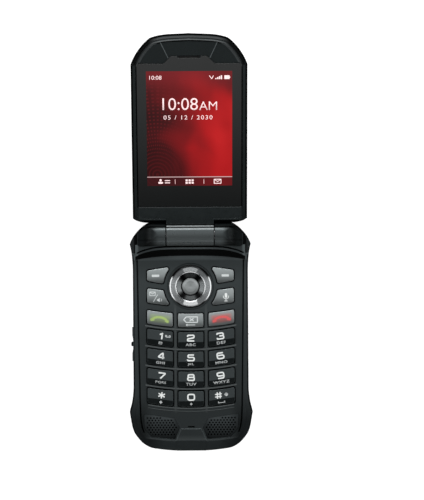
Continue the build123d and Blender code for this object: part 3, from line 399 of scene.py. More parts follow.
def front_masks(t, co, base, r):
    x, y, z = t.xyz(co)
    nx, ny, nz = t.onormal()
    ax = t.math("ABSOLUTE", x)
    # painted highlight: the raised ribs and the strips between the key columns are painted lighter, where they would
    # catch more light
    field = t.mul(t.below(ax, 0.0218), t.step(y, -0.0295), t.below(y, 0.0065))
    ribs = t.mul(field, t.step(z, 0.01310, 0.00003), t.step(nz, 0.85, 0.05))
    base = t.mix(ribs, base, (0.082, 0.089, 0.089))
    # painted highlights along the two long edges of the bar under the last row
    bow = t.math("SUBTRACT", y, t.mul(x, x, 4.476))
    for mid, k in ((-0.03440, 0.9), (-0.03585, 0.75)):
        near_line = t.mul(t.below(t.math("ABSOLUTE", t.math("SUBTRACT", bow, mid)), 0.00016, 0.00006), t.below(ax, 0.0204),
                          t.step(z, 0.0130, 0.00002))
        base = t.mix(t.mul(near_line, k), base, (0.130, 0.141, 0.141))
    # painted highlight on the strips between the key columns
    strips = t.mul(t.step(ax, 0.0068, 0.0002), t.below(ax, 0.0078, 0.0002), t.step(y, -0.0362, 0.0004), t.below(y, 0.0128, 0.003))
    base = t.mix(t.mul(strips, 0.8), base, (0.046, 0.050, 0.050))
    # painted light: the tab between the grilles is painted brighter towards its front edge
    tab = t.mul(t.below(ax, 0.0070, 0.0001), t.step(z, 0.01310, 0.00003), t.remap(y, -0.0470, -0.0495, 0.0, 1.0))
    base = t.mix(t.mul(tab, 0.7), base, (0.050, 0.056, 0.056))
    # painted shade: the deck and rails are painted darker towards the microphone end and most of all in its corners,
    # and painted lighter by the barrel and on the outer rails
    near = t.mul(t.remap(y, -0.002, 0.017, 0.70, 0.95), t.remap(y, 0.0260, 0.0335, 1.0, 0.76), t.remap(y, 0.0356, 0.0366, 1.0, 1.9), t.remap(ax, 0.0243, 0.0250, 1.0, 1.14), t.remap(y, -0.034, -0.010, 0.88, 1.0),
                 t.remap(t.mul(t.step(ax, 0.0205, 0.0020), t.below(y, -0.0345, 0.0060)), 0.0, 1.0, 1.0, 0.42))
    base = t.mix(1.0, base, grey3(t, near), "MULTIPLY")
    # the chin, painted as if lit from the front, with a painted highlight along its upper edge
    chin = t.mul(t.below(y, -0.0440, 0.0002), t.below(nz, 0.86, 0.05), t.step(ny, -0.995, 0.001))
    base = t.mix(chin, base, t.mix(t.remap(ax, 0.0110, 0.0200, 0.0, 1.0, True), (0.0165, 0.0205, 0.0212), (0.0085, 0.0105, 0.0110)))
    crest = t.math("SUBTRACT", y, t.mul(x, x, 3.3))
    chin_crest_highlight = t.mul(t.below(crest, -0.04955, 0.00012), t.step(z, 0.01235, 0.00012), t.step(ax, 0.0069, 0.0001),
                   t.below(ax, 0.0212, 0.0012))
    base = t.mix(chin_crest_highlight, base, t.mix(t.remap(ax, 0.0130, 0.0205, 0.0, 1.0), (0.054, 0.062, 0.063), (0.027, 0.031, 0.032)))
    # painted shade: the slope and groove in front of the barrel are painted near black
    slope = t.mul(t.step(y, 0.0352), t.step(z, 0.01304, 0.00002), t.below(z, 0.01457, 0.00001))
    groove = t.mul(t.step(y, 0.0392), t.below(z, 0.01457, 0.00001), t.below(ax, 0.0258, 0.0003))
    # painted shade, near black, also in the rail channels, on the gap walls round the keys, by the side rocker and at
    # the outer ends of the groove
    chan = t.mul(t.below(z, 0.01215, 0.00003), t.step(z, 0.0105), t.below(ax, 0.0259), t.below(y, 0.0365),
                 t.step(y, -0.0462, 0.0005), 0.86)
    gaps = t.mul(t.below(z, 0.01275, 0.00008), t.below(ax, 0.0222), t.below(nz, 0.5, 0.1), t.step(y, -0.048))
    rocker = t.mul(t.step(ax, 0.02764, 0.00004), t.below(t.math("ABSOLUTE", t.math("ADD", y, 0.00405)), 0.0088), t.step(z, 0.0072),
                   t.below(z, 0.0118), 0.85)
    facet = t.mul(t.step(y, 0.0392), t.below(z, 0.01457, 0.00001), t.remap(ax, 0.0258, 0.0264, 0.0, 0.76))
    dark = t.math("MAXIMUM", t.math("MAXIMUM", slope, groove), t.math("MAXIMUM", t.math("MAXIMUM", chan, facet), t.math("MAXIMUM", gaps, rocker)))
    base = t.mix(dark, base, BLACK)
    r = t.blend(dark, r, 0.6)
    # bumper walls
    wall = t.mul(t.below(nz, 0.78, 0.1), t.below(z, 0.0122, 0.0002), t.math("SUBTRACT", 1.0, t.math("MAXIMUM", chin, chin_crest_highlight)))
    base = t.mix(wall, base, (0.0075, 0.0085, 0.009))
    # barrel shoulders: satin paint, a little lighter than the deck
    barrel = t.mul(t.step(y, 0.0422), t.step(z, 0.0148), t.below(y, 0.0520, 0.0004))
    fade = t.remap(ax, 0.0125, 0.0200, 1.0, 0.0, True)
    base = t.mix(t.mul(barrel, fade), base, (0.022, 0.025, 0.0252))
    # painted shade: the shoulders are painted darker towards their outer ends, in colour and reflection
    outer = t.mul(barrel, t.remap(ax, 0.0150, 0.0205, 0.0, 1.0, True))
    base = t.mix(outer, base, (0.004, 0.005, 0.0052))
    # painted light on the lower front of the barrel and a painted highlight line along its top
    base = t.mix(t.mul(barrel, fade, barrel_low(t, y)), base, (0.040, 0.046, 0.047))
    base = t.mix(t.mul(barrel, fade, t.step(y, 0.05025, 0.00010), t.below(y, 0.05085, 0.00010)), base, (0.15, 0.165, 0.165))
    # painted shade in the reflections: the barrel's specular tint is dimmed, most of all in the band that mirrors the
    # front light
    grey = t.math("SUBTRACT", 1.0, t.mul(barrel, 0.34))
    grey = t.mul(grey, t.math("SUBTRACT", 1.0, t.mul(barrel, barrel_glare(t, y), 0.72)))
    # behind the crest line the shoulders fall into shade
    back = t.mul(barrel, t.step(y, 0.05115, 0.00025), t.step(z, 0.0160))
    dark = t.math("MAXIMUM", dark, t.mul(back, 0.9))
    base = t.mix(t.mul(back, 0.9), base, BLACK)
    grey = t.mul(grey, t.math("SUBTRACT", 1.0, t.mul(outer, 0.52)))
    # painted shade where the shoulders turn away towards the sides, in colour and reflection
    turn = t.math("SUBTRACT", 1.0, t.mul(barrel, t.remap(ax, 0.0145, 0.0180, 0.0, 0.56, True), t.remap(ax, 0.0205, 0.0232, 1.0, 0.0, True)))
    base = t.mix(1.0, base, grey3(t, turn), "MULTIPLY")
    grey = t.mul(grey, turn)
    # seam beside the display half's knuckle
    seam = t.mul(t.step(y, 0.0415), t.step(z, 0.0150), t.below(ax, 0.01162, 0.00008), 0.8)
    base = t.mix(seam, base, BLACK)
    # painted shade: the lip and the ledge behind it are painted dimmer towards the sides but for their outer corners
    ledge = t.mul(t.step(y, 0.0365, 0.0006), t.below(y, 0.0464, 0.0003), t.step(z, 0.0126), t.below(z, 0.0151, 0.0001))
    dim = t.blend(t.step(y, 0.0424, 0.0003), t.remap(ax, 0.0050, 0.0215, 0.90, 0.50), t.remap(ax, 0.0150, 0.0205, 0.85, 0.24))
    dim = t.math("MAXIMUM", dim, t.step(ax, 0.0243, 0.0007))
    dim = t.remap(t.mul(ledge, t.math("SUBTRACT", 1.0, dim)), 0.0, 1.0, 1.0, 0.0)
    base = t.mix(1.0, base, grey3(t, dim), "MULTIPLY")
    # the painted shade and light above also dim the reflections through the specular tint
    return base, r, dark_tint(t, t.math("MAXIMUM", dark, seam), t.mul(grey, near, dim))


DECK = (0.0095, 0.0115, 0.0117)
m_front = plastic("housing_front", DECK, 0.36, masks=front_masks)
m_rear = plastic("housing_rear", (0.0055, 0.006, 0.0062), 0.5, grain=3800.0, grain_h=0.35)


def lid_masks(t, co, base, r):
    x, y, z = t.xyz(co)
    ax = t.math("ABSOLUTE", x)
    dy = t.math("SUBTRACT", y, AXIS_Y * MM)
    dz = t.math("SUBTRACT", z, AXIS_Z * MM)
    v = t.math("ADD", t.mul(dy, math.cos(TILT)), t.mul(dz, math.sin(TILT)))
    zl = t.math("SUBTRACT", t.mul(dz, math.cos(TILT)), t.mul(dy, math.sin(TILT)))
    d = t.n("ShaderNodeVectorMath", operation="DOT_PRODUCT")
    t.link(t.n("ShaderNodeTexCoord").outputs["Normal"], d.inputs[0])
    d.inputs[1].default_value = (0.0, -math.sin(TILT), math.cos(TILT))
    # painted shade: the outer edge of the display half and its chamfer by the hinge are painted black, and their
    # reflections dimmed
    steep = t.below(d.outputs["Value"], 0.978, 0.006)
    arm = t.step(v, 0.0053, 0.0001)
    trim = t.step(v, 0.0794, 0.0001)
    crease = t.mul(trim, t.step(zl, 0.00062, 0.00002), t.below(zl, 0.00076, 0.00002), t.step(d.outputs["Value"], 0.95, 0.02))
    edge = t.mul(steep, arm, t.math("SUBTRACT", 1.0, crease))
    slot = t.mul(trim, t.step(zl, 0.00052, 0.00003), t.below(zl, 0.00064, 0.00002), t.step(ax, 0.0))
    # painted highlight along the creases
    base = t.mix(crease, base, (0.060, 0.068, 0.070))
    # rim band round the far end, with painted shade making it near black at its corners
    band = t.mul(trim, t.step(zl, 0.00090, 0.00003))
    corner = t.mul(band, t.remap(ax, 0.0125, 0.0190, 0.0, 1.0, True))
    base = t.mix(band, base, (0.010, 0.0112, 0.0116))
    base = t.mix(corner, base, (0.0025, 0.003, 0.0031))
    # painted highlight: the slope inside the rim is painted lighter at the corners only
    nx, ny, nz = t.onormal()
    inward = t.mul(trim, steep, t.below(t.mul(x, nx), -0.0024, 0.0006), t.below(zl, 0.00097, 0.00001),
                   t.step(ax, 0.0138, 0.0010))
    base = t.mix(inward, base, (0.048, 0.054, 0.056))
    edge = t.mul(edge, t.math("SUBTRACT", 1.0, inward))
    # the recessed trim panels are darker than the lens
    panel = t.mul(trim, t.below(zl, 0.00060, 0.00002))
    seam = t.mul(t.step(ax, 0.0240), t.below(ax, 0.0246), t.step(v, 0.0132, 0.0001), t.below(v, 0.0794, 0.0001))
    dark = t.math("MAXIMUM", edge, seam)
    base = t.mix(dark, base, BLACK)
    # the knuckle matches the shoulders
    knuckle = t.mul(t.below(y, 0.0530, 0.0001), t.below(ax, 0.0113))
    base = t.mix(knuckle, base, (0.040, 0.0445, 0.045))
    # painted light on the knuckle's lower front
    base = t.mix(t.mul(knuckle, barrel_low(t, y)), base, (0.060, 0.068, 0.069))
    # painted highlight lines along the knuckle
    line = t.math("MAXIMUM", t.mul(t.step(y, 0.05025, 0.00010), t.below(y, 0.05088, 0.00010)),
                  t.mul(t.step(y, 0.05160, 0.00010), t.below(y, 0.05212, 0.00010), 0.75))
    base = t.mix(t.mul(knuckle, line), base, (0.23, 0.245, 0.245))
    # painted shade behind the knuckle's crest
    kback = t.mul(knuckle, t.step(y, 0.05225, 0.00010))
    base = t.mix(kback, base, (0.003, 0.0036, 0.0036))
    # the seam beside the knuckle is a dark joint; the back of the knuckle is painted shade
    kseam_and_shade = t.math("MAXIMUM", t.mul(knuckle, t.step(ax, 0.01098, 0.00008), 0.8), t.mul(kback, 0.85))
    base = t.mix(kseam_and_shade, base, BLACK)
    # the specular tint is dimmed on the trim panels; painted shade dims it further at the rim's corners, on the
    # knuckle's glare band, low by the lens and along the sides
    grey = t.math("SUBTRACT", 1.0, t.mul(panel, 0.55))
    grey = t.mul(grey, t.math("SUBTRACT", 1.0, t.mul(corner, 0.80)))
    grey = t.mul(grey, t.math("SUBTRACT", 1.0, t.mul(knuckle, barrel_glare(t, y), 0.72)))
    low = t.mul(t.below(v, 0.0134, 0.0001), t.step(zl, 0.0004))
    grey = t.mul(grey, t.math("SUBTRACT", 1.0, t.mul(low, 0.25)))
    side = t.mul(t.step(ax, 0.0242), t.step(zl, 0.0003), t.below(v, 0.0794, 0.0001))
    grey = t.mul(grey, t.math("SUBTRACT", 1.0, t.mul(side, 0.5)))
    return base, r, dark_tint(t, t.math("MAXIMUM", t.mul(dark, t.math("SUBTRACT", 1.0, knuckle)), kseam_and_shade), grey)


m_lidin = plastic("lid_inner", (0.0035, 0.0048, 0.0048), 0.30, masks=lid_masks)


def key_masks(t, co, base, r):
    x, y, z = t.xyz(co)
    nx, ny, nz = t.onormal()
    # painted shade: the key sides and the lower parts of the key are painted black, reflections and all
    dark = t.math("MAXIMUM", t.below(nz, 0.8, 0.08), t.below(z, 0.0131, 0.00006))
    base = t.mix(dark, base, BLACK)
    # painted shade on the sloping faces of the key top
    slope = t.below(nz, 0.985, 0.006)
    base = t.mix(t.mul(slope, 0.8), base, (0.0035, 0.0046, 0.0046))
    return base, r, dark_tint(t, dark)


m_key = plastic("key_dark", (0.0085, 0.0105, 0.0108), 0.20, grain=6500.0, grain_h=0.05, masks=key_masks)


def grey_masks(t, co, base, r):
    x, y, z = t.xyz(co)
    nx, ny, nz = t.onormal()
    # painted shade: faces turning towards the microphone end are painted darker, and the key sides and the lower parts
    # of the key near black
    dark = t.math("MAXIMUM", t.below(nz, 0.55, 0.08), t.below(z, 0.0131, 0.00006))
    base = t.mix(1.0, base, grey3(t, t.remap(ny, -0.19, 0.05, 0.56, 1.0, True)), "MULTIPLY")
    base = t.mix(dark, base, (0.0012, 0.0012, 0.0012))
    return base, r


m_keyg = metal("key_grey", (0.242, 0.262, 0.264), 0.34, brush=(1, 1, 1), scale=5200.0, grain_h=0.2, edge=0.0001, masks=grey_masks)


def glow(name, tint, cx_, cy_, ang, hx, hy):
    """Grey lacquer of a function key with painted glow: its legend's colour is painted into the lacquer round it."""
    def masks(t, co, base, r):
        mp = t.n("ShaderNodeMapping", vector_type="TEXTURE")
        mp.inputs["Location"].default_value = (cx_ * MM, cy_ * MM, 0)
        mp.inputs["Rotation"].default_value = (0, 0, ang)
        t.link(co, mp.inputs["Vector"])
        x, y, z = t.xyz(mp.outputs[0])
        fx = t.remap(t.math("ABSOLUTE", x), hx * 0.7 * MM, hx * 1.15 * MM, 1.0, 0.0, True)
        fy = t.remap(t.math("ABSOLUTE", y), hy * 0.5 * MM, hy * 1.3 * MM, 1.0, 0.0, True)
        base = t.mix(t.mul(fx, fy, 0.8), base, tint)
        return grey_masks(t, co, base, r)
    return metal(name, (0.242, 0.262, 0.264), 0.34, brush=(1, 1, 1), scale=5200.0, grain_h=0.2, edge=0.0001, masks=masks)


def nav_masks(t, co, base, r):
    mp = t.n("ShaderNodeMapping")
    mp.inputs["Location"].default_value = (0, -0.02343, 0)
    t.link(co, mp.inputs["Vector"])
    x, y, z = t.xyz(mp.outputs[0])
    rad = t.math("SQRT", t.math("ADD", t.mul(x, x), t.mul(y, y)))
    ang = t.math("ABSOLUTE", t.math("DIVIDE", y, t.math("ADD", rad, 0.00001)))
    # painted reflections: the inner cone is painted light at the sides, dim at the poles and near black between them
    sides = t.below(ang, 0.62, 0.2)          # 1 at the left and right
    poles = t.step(ang, 0.86, 0.1)           # 1 at the top and bottom
    inner = t.below(rad, 0.00676)
    near_side = t.below(ang, 0.54, 0.16)
    near_pole = t.step(ang, 0.88, 0.07)
    lit = t.math("ADD", t.mul(near_side, 0.22), t.mul(near_pole, t.remap(y, -0.001, 0.001, 0.070, 0.14)))
    base = t.mix(inner, base, t.mix(1.0, grey3(t, lit), (0.93, 0.985, 1.0), "MULTIPLY"))
    # painted highlights on the cut edges inside and outside the satin face, at the sides only; the rest of the outer
    # edge is painted near black
    lip_in = t.mul(t.step(rad, 0.00660), t.below(rad, 0.00706), t.math("MAXIMUM", sides, t.mul(poles, t.step(y, 0.0))))
    upper = t.step(y, 0.0, 0.0004)
    arc = t.blend(upper, t.remap(ang, 0.45, 0.85, 1.0, 0.0, True), t.below(ang, 0.47, 0.05))
    lip_out = t.mul(t.step(rad, 0.0094), t.below(z, 0.01425), arc)
    reach = t.math("ADD", rad, t.remap(y, -0.001, 0.001, 0.0, 0.00050))
    rest = t.mul(t.step(reach, 0.00942, 0.00010), t.math("SUBTRACT", 1.0, arc))
    base = t.mix(lip_in, base, (0.40, 0.41, 0.415))
    base = t.mix(lip_out, base, (0.40, 0.41, 0.415))
    base = t.mix(rest, base, (0.004, 0.0044, 0.0045))
    # painted shade on the satin face at its diagonals
    diag = t.mul(t.step(rad, 0.0070), t.below(rad, 0.0094), t.math("SUBTRACT", 1.0, t.math("MAXIMUM", t.below(ang, 0.45, 0.2), t.step(ang, 0.918, 0.012))))
    base = t.mix(t.mul(diag, t.blend(upper, 0.52, 0.78)), base, (0.055, 0.058, 0.060))
    shade = t.mul(inner, t.math("SUBTRACT", 1.0, t.math("MAXIMUM", near_side, near_pole)))
    base = t.mix(shade, base, (0.004, 0.004, 0.0042))
    # the two raised pads, painted bright below and dimmer above as painted light
    pads = t.mul(t.step(rad, 0.00715, 0.00010), t.below(rad, 0.00905, 0.00010), t.step(ang, 0.918, 0.012))
    base = t.mix(t.mul(pads, t.below(y, 0.0)), base, (0.62, 0.63, 0.635))
    base = t.mix(t.mul(pads, t.step(y, 0.0)), base, (0.31, 0.32, 0.325))
    # painted shade on the low parts outside the ring and on the inner brink at the lower pole
    low = t.below(z, 0.0129, 0.0001)
    base = t.mix(t.mul(low, t.step(rad, 0.008)), base, (0.001, 0.001, 0.001))
    brink = t.mul(t.step(rad, 0.00640), t.below(rad, 0.00690), poles, t.below(y, 0.0))
    base = t.mix(brink, base, (0.006, 0.006, 0.006))
    return base, r


m_chrome = metal("nav_chrome", (0.26, 0.27, 0.275), 0.24, brush=(1, 1, 1), scale=4200.0, masks=nav_masks)
def ok_masks(t, co, base, r):
    x, y, z = t.xyz(co)
    # painted light and shade: the key is painted brightest a little above its middle and darker towards its ends, most
    # of all the lower end
    v = t.remap(y, 0.02000, 0.02700, 0.0, 1.0)
    k = t.ramp(v, [(0.0, (0.5, 0.5, 0.5)), (0.25, (0.57, 0.57, 0.57)), (0.5, (0.82, 0.82, 0.82)), (0.70, (1.0, 1.0, 1.0)),
                   (0.86, (0.80, 0.80, 0.80)), (1.0, (0.70, 0.70, 0.70))])
    return grey_masks(t, co, t.mix(1.0, base, k, "MULTIPLY"), r)


m_ok = metal("ok_grey", (0.36, 0.38, 0.382), 0.36, brush=(1, 1, 1), scale=3600.0, grain_h=0.35, masks=ok_masks)
m_inner = plastic("inner_black", (0.008, 0.008, 0.0082), 0.5)
def grille_masks(t, co, base, r):
    x, y, z = t.xyz(co)
    nx, ny, nz = t.onormal()
    ax = t.math("ABSOLUTE", x)
    # painted light and shade: the grille is painted lighter towards the keypad and darker towards the microphone end
    # and towards its inner and outer ends
    k = t.mul(t.remap(y, -0.0488, -0.0392, 0.20, 1.32), t.remap(ax, 0.0175, 0.0215, 1.0, 0.55), t.remap(ax, 0.0070, 0.0100, 0.70, 1.10))
    # painted shade: the walls of the holes are painted black
    k = t.mul(k, t.step(nz, 0.75, 0.1))
    return t.mix(1.0, base, t.mix(1.0, grey3(t, k), (0.94, 0.985, 1.0), "MULTIPLY"), "MULTIPLY"), r


m_grille = metal("grille_black", (0.040, 0.044, 0.045), 0.42, brush=(1, 1, 1), masks=grille_masks)
# black speaker cloth, made near black and almost without reflection: painted shade in the grille holes
m_cloth_and_shade = plastic("speaker_cloth_and_shade", (0.0009, 0.0010, 0.0010), 0.9, spec=0.03, wear=0.0, edge=0.0)
m_rubber = plastic("seal_rubber", (0.010, 0.010, 0.0105), 0.72, wear=0.15)
m_screw = metal("screw_steel", (0.2, 0.2, 0.21), 0.35)
m_steel = metal("hinge_steel", (0.5, 0.5, 0.51), 0.3)
m_sheet = metal("sheet_metal", (0.65, 0.65, 0.66), 0.3)
m_weight = metal("weight_metal", (0.3, 0.29, 0.28), 0.45, brush=(1, 1, 1))


def board_masks(t, co, base, r):
    cell = t.voronoi(co, 420.0, "DISTANCE_TO_EDGE")
    trace = t.below(cell, 0.06, 0.02)
    base = t.mix(t.mul(trace, 0.6), base, (0.03, 0.14, 0.07))
    return base, r, None


m_pcb = plastic("circuit_board", (0.008, 0.055, 0.028), 0.3, masks=board_masks)
m_batt = plastic("battery_case", (0.028, 0.029, 0.032), 0.45)
m_lens = plastic("screen_glass", (0.0016, 0.0022, 0.0022), 0.07, grain_h=0.0, vary=0.1, wear=0.05, edge=0.0, spread=0.008)
m_disp = plastic("display_panel", (0.02, 0.02, 0.022), 0.2)
m_flex = plastic("flex_film", (0.3, 0.12, 0.02), 0.35)
SLOT_MAT = {"housing_front": m_front, "housing_rear": m_rear, "lid_inner": m_lidin, "key_dark": m_key, "key_grey": m_keyg,
            "nav_chrome": m_chrome, "inner_black": m_inner, "grille_black": m_grille, "seal_rubber": m_rubber,
            "screw_steel": m_screw, "hinge_steel": m_steel, "sheet_metal": m_sheet, "weight_metal": m_weight,
            "circuit_board": m_pcb, "battery_case": m_batt, "screen_glass": m_lens, "display_panel": m_disp,
            "flex_film": m_flex}
for sp in frame["record"]["subparts"]:
    give([sp["node"]], SLOT_MAT[sp["material_slot"]])
give(["nav_ok_key"], m_ok)
give(["loudspeakers"], m_cloth_and_shade)


# ------------------------------------------------------------- key surfaces
SMILE_R = 111.7


def smile(x, y0):
    return y0 + SMILE_R - math.sqrt(SMILE_R ** 2 - x * x)


def number_place(xc, row_top):
    """(u, w) on a digit key, w from its lower edge, to a point on the key's surface."""
    ang = math.asin(xc / SMILE_R)
    ybot = smile(xc, row_top - 7.44) - YB

    def place(u, w_, h):
        z = 14.0 - max(0.0, 2.75 - w_) * (1.24 / 4.75)
        tilt = -math.atan(1.24 / 4.75) if w_ < 2.75 else 0.0
        x = xc + u * math.cos(ang) - w_ * math.sin(ang)
        y = ybot + u * math.sin(ang) + w_ * math.cos(ang)
        return Vector((x * MM, y * MM, (z + h) * MM))
    return place


def crown_place(xc, yc, ang=0.0):
    """(u, w) on a crowned function key, w from its middle."""
    def place(u, w_, h):
        z = 13.9 - (22.0 - math.sqrt(484.0 - w_ * w_))
        x = xc + u * math.cos(ang) - w_ * math.sin(ang)
        y = yc + u * math.sin(ang) + w_ * math.cos(ang)
        return Vector((x * MM, y * MM, (z + h) * MM))
    return place


def lid_place(u, v, h):
    """(x, v) on the display half's lens, h above it."""
    z = 0.6 + h
    return Vector((u * MM, (AXIS_Y + v * math.cos(TILT) - z * math.sin(TILT)) * MM,
                   (AXIS_Z + v * math.sin(TILT) + z * math.cos(TILT)) * MM))


# --------------------------------------------------------- legend materials
def ink_with_glow(name, col, emit=0.0, rough=0.45):
    m = bpy.data.materials.new(name)
    m.use_nodes = True
    t = Tree(m.node_tree)
    co = t.coords()
    n1 = t.noise(co, 2600.0, 3.0)
    n2 = t.noise(co, 700.0, 3.0)
    base = t.ramp(n1, [(0.3, scaled(col, 0.86)), (0.7, tuple(min(1.0, v * 1.06) for v in col))])
    base = t.mix(t.remap(n2, 0.55, 0.8, 0.0, 0.35), base, scaled(col, 0.7))
    r = t.remap(n1, 0.3, 0.7, rough - 0.06, rough + 0.08)
    p = t.surface(Base_Color=base, Roughness=r, Normal=t.bump(n1, 0.15, 0.00004))
    if emit:
        t.link(base, p.inputs["Emission Color"])
        p.inputs["Emission Strength"].default_value = emit
    return m


# painted light: the keypad legends are given a faint emission, so they glow a little though they are no lamp
m_white = ink_with_glow("legend_white", (0.64, 0.66, 0.65), 0.135)
m_soft = ink_with_glow("legend_soft", (0.50, 0.53, 0.53), 0.14)
m_greyink = ink_with_glow("legend_grey", (0.42, 0.44, 0.44), 0.12)
m_green = ink_with_glow("legend_green", (0.30, 0.41, 0.12), 0.12)
m_red = ink_with_glow("legend_red", (0.55, 0.075, 0.075), 0.12)


# ------------------------------------------------------- flat legend pieces
def link_mesh(name, verts, faces, body, material):
    me = bpy.data.meshes.new(name)
    me.from_pydata([tuple(v) for v in verts], [], faces)
    me.validate()
    bm = bmesh.new()
    bm.from_mesh(me)
    bmesh.ops.recalc_face_normals(bm, faces=bm.faces)
    bm.to_mesh(me)
    bm.free()
    me.materials.append(material)
    o = bpy.data.objects.new(name, me)
    scn.collection.objects.link(o)
    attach(o, body)
    return o


def soften(pts, r, closed=False, n=6):
    """Round the corners of a polyline."""
    out = []
    m = len(pts)
    for i, p in enumerate(pts):
        if not closed and i in (0, m - 1):
            out.append(Vector(p))
            continue
        a, b = Vector(pts[i - 1]), Vector(pts[(i + 1) % m])
        q = Vector(p)
        da, db = a - q, b - q
        rr = min(r, da.length * 0.49, db.length * 0.49)
        if rr < 1e-4:
            out.append(q)
            continue
        s, e = q + da.normalized() * rr, q + db.normalized() * rr
        for k in range(n + 1):
            f = k / n
            out.append(s * (1 - f) ** 2 + q * 2 * f * (1 - f) + e * f * f)
    return out


def stroke(pts, width, closed=False):
    """Left and right rails of a ribbon with mitred corners."""
    m = len(pts)
    left, right = [], []
    for i in range(m):
        p = pts[i]
        a = pts[i - 1] if (i > 0 or closed) else None
        b = pts[(i + 1) % m] if (i < m - 1 or closed) else None
        d1 = (p - a).normalized() if a is not None else None
        d2 = (b - p).normalized() if b is not None else None
        d1 = d1 if d1 is not None else d2
        d2 = d2 if d2 is not None else d1
        n1, n2 = Vector((-d1.y, d1.x)), Vector((-d2.y, d2.x))
        n = n1 + n2
        n = n.normalized() if n.length > 1e-6 else n1
        c = max(0.35, n.dot(n1))
        left.append(p + n * (width / 2 / c))
        right.append(p - n * (width / 2 / c))
    return left, right


def fine(pts, step=0.35):
    """Subdivide a polyline so that it can follow a bent surface."""
    out = [pts[0]]
    for a, b in zip(pts[:-1], pts[1:]):
        k = max(1, int((b - a).length / step))
        for i in range(1, k + 1):
            out.append(a + (b - a) * (i / k))
    return out


def ribbons(name, lines, place, body, material, thick=0.035):
    """Legend drawn as ribbons: lines is a list of (points, width, closed, corner radius)."""
    verts, faces = [], []
    for li, (pts, width, closed, rad) in enumerate(lines):
        p = soften(pts, rad, closed) if rad else [Vector(q) for q in pts]
        if closed:
            p = fine(p + [p[0]])[:-1]
        else:
            p = fine(p)
        left, right = stroke(p, width, closed)
        h = thick + li * 0.002
        base = len(verts)
        for l, r in zip(left, right):
            verts.append(place(l.x, l.y, h))
            verts.append(place(r.x, r.y, h))
            verts.append(place(l.x, l.y, -0.01))
            verts.append(place(r.x, r.y, -0.01))
        m = len(p)
        for i in range(m if closed else m - 1):
            a, b = base + 4 * i, base + 4 * ((i + 1) % m)
            faces += [(a, b, b + 1, a + 1), (a, a + 2, b + 2, b), (a + 1, b + 1, b + 3, a + 3)]
        if not closed:
            for e in (base, base + 4 * (m - 1)):
                faces.append((e, e + 1, e + 3, e + 2))
    return link_mesh(name, verts, faces, body, material)


def shapes(name, polys, place, body, material, thick=0.035):
    """Legend drawn as filled convex polygons."""
    verts, faces = [], []
    for li, poly in enumerate(polys):
        h = thick + li * 0.002
        base = len(verts)
        m = len(poly)
        for (u, w_) in poly:
            verts.append(place(u, w_, h))
        for (u, w_) in poly:
            verts.append(place(u, w_, -0.01))
        faces.append(tuple(base + i for i in range(m)))
        for i in range(m):
            j = (i + 1) % m
            faces.append((base + i, base + m + i, base + m + j, base + j))
    return link_mesh(name, verts, faces, body, material)


def disc(u, w_, r, n=18, sx=1.0):
    return [(u + sx * r * math.cos(2 * math.pi * k / n), w_ + r * math.sin(2 * math.pi * k / n)) for k in range(n)]


def rrect(u0, w0, u1, w1, r):
    pts = soften([(u0, w0), (u1, w0), (u1, w1), (u0, w1)], r, True, 5)
    return [(p.x, p.y) for p in pts]


def words(name, text, size, place, body, material, u=0.0, w_=0.0, wide=1.0, bold=0.0, thick=0.03, space=1.0):
    """Built-in lettering turned into a thin mesh, centred on (u, w)."""
    c = bpy.data.curves.new(name, "FONT")
    c.body = text
    c.size = 1.0
    c.align_x = "CENTER"
    c.offset = bold
    c.space_character = space
    c.resolution_u = 4
    tmp = bpy.data.objects.new(name + "_t", c)
    scn.collection.objects.link(tmp)
    dg = bpy.context.evaluated_depsgraph_get()
    me = bpy.data.meshes.new_from_object(tmp.evaluated_get(dg))
    bpy.data.objects.remove(tmp)
    ys = [v.co.y for v in me.vertices]
    lo, hi = min(ys), max(ys)
    k = size / (hi - lo)
    bm = bmesh.new()
    bm.from_mesh(me)
    bmesh.ops.triangulate(bm, faces=bm.faces)
    top = list(bm.faces)
    ret = bmesh.ops.extrude_face_region(bm, geom=top)
    up = [g for g in ret["geom"] if isinstance(g, bmesh.types.BMVert)]
    upset = set(up)
    for v in bm.verts:
        uu = u + v.co.x * k * wide
        ww = w_ + (v.co.y - (lo + hi) / 2) * k
        v.co = place(uu, ww, thick if v in upset else -0.01)
    bmesh.ops.recalc_face_normals(bm, faces=bm.faces)
    bm.to_mesh(me)
    bm.free()
    me.name = name
    me.materials.clear()
    me.materials.append(material)
    o = bpy.data.objects.new(name, me)
    scn.collection.objects.link(o)
    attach(o, body)
    return o


# wide square-shouldered digits in a unit box: list of (points, closed)
D = {
    "0": [([(0, 0), (1, 0), (1, 1), (0, 1)], True)],
    "1": [([(0.26, 0.80), (0.62, 1.0), (0.62, 0.0)], False)],
    "2": [([(0.02, 0.70), (0.02, 1), (1, 1), (1, 0.54), (0.0, 0.36), (0.0, 0.0), (1.03, 0.0)], False)],
    "3": [([(0.03, 0.76), (0.03, 1), (0.97, 1), (0.97, 0.53), (0.36, 0.53)], False),
          ([(0.36, 0.53), (1, 0.53), (1, 0), (0, 0), (0, 0.24)], False)],
    "4": [([(0.98, 0.27), (-0.02, 0.27), (0.60, 1.0), (0.74, 1.0), (0.74, 0.0)], False)],
    "5": [([(0.97, 1), (0.05, 1), (0.05, 0.55), (1, 0.58), (1, 0), (0, 0), (0, 0.22)], False)],
    "6": [([(0.94, 1), (0, 1), (0, 0), (1, 0), (1, 0.57), (0.06, 0.57)], False)],
    "7": [([(0, 1), (1, 1), (1, 0.86), (0.36, 0)], False)],
    "8": [([(0.06, 0.53), (0.06, 1), (0.94, 1), (0.94, 0.53)], True), ([(0, 0), (1, 0), (1, 0.53), (0, 0.53)], True)],
    "9": [([(0.06, 0), (1, 0), (1, 1), (0, 1), (0, 0.43), (0.94, 0.43)], False)],
}


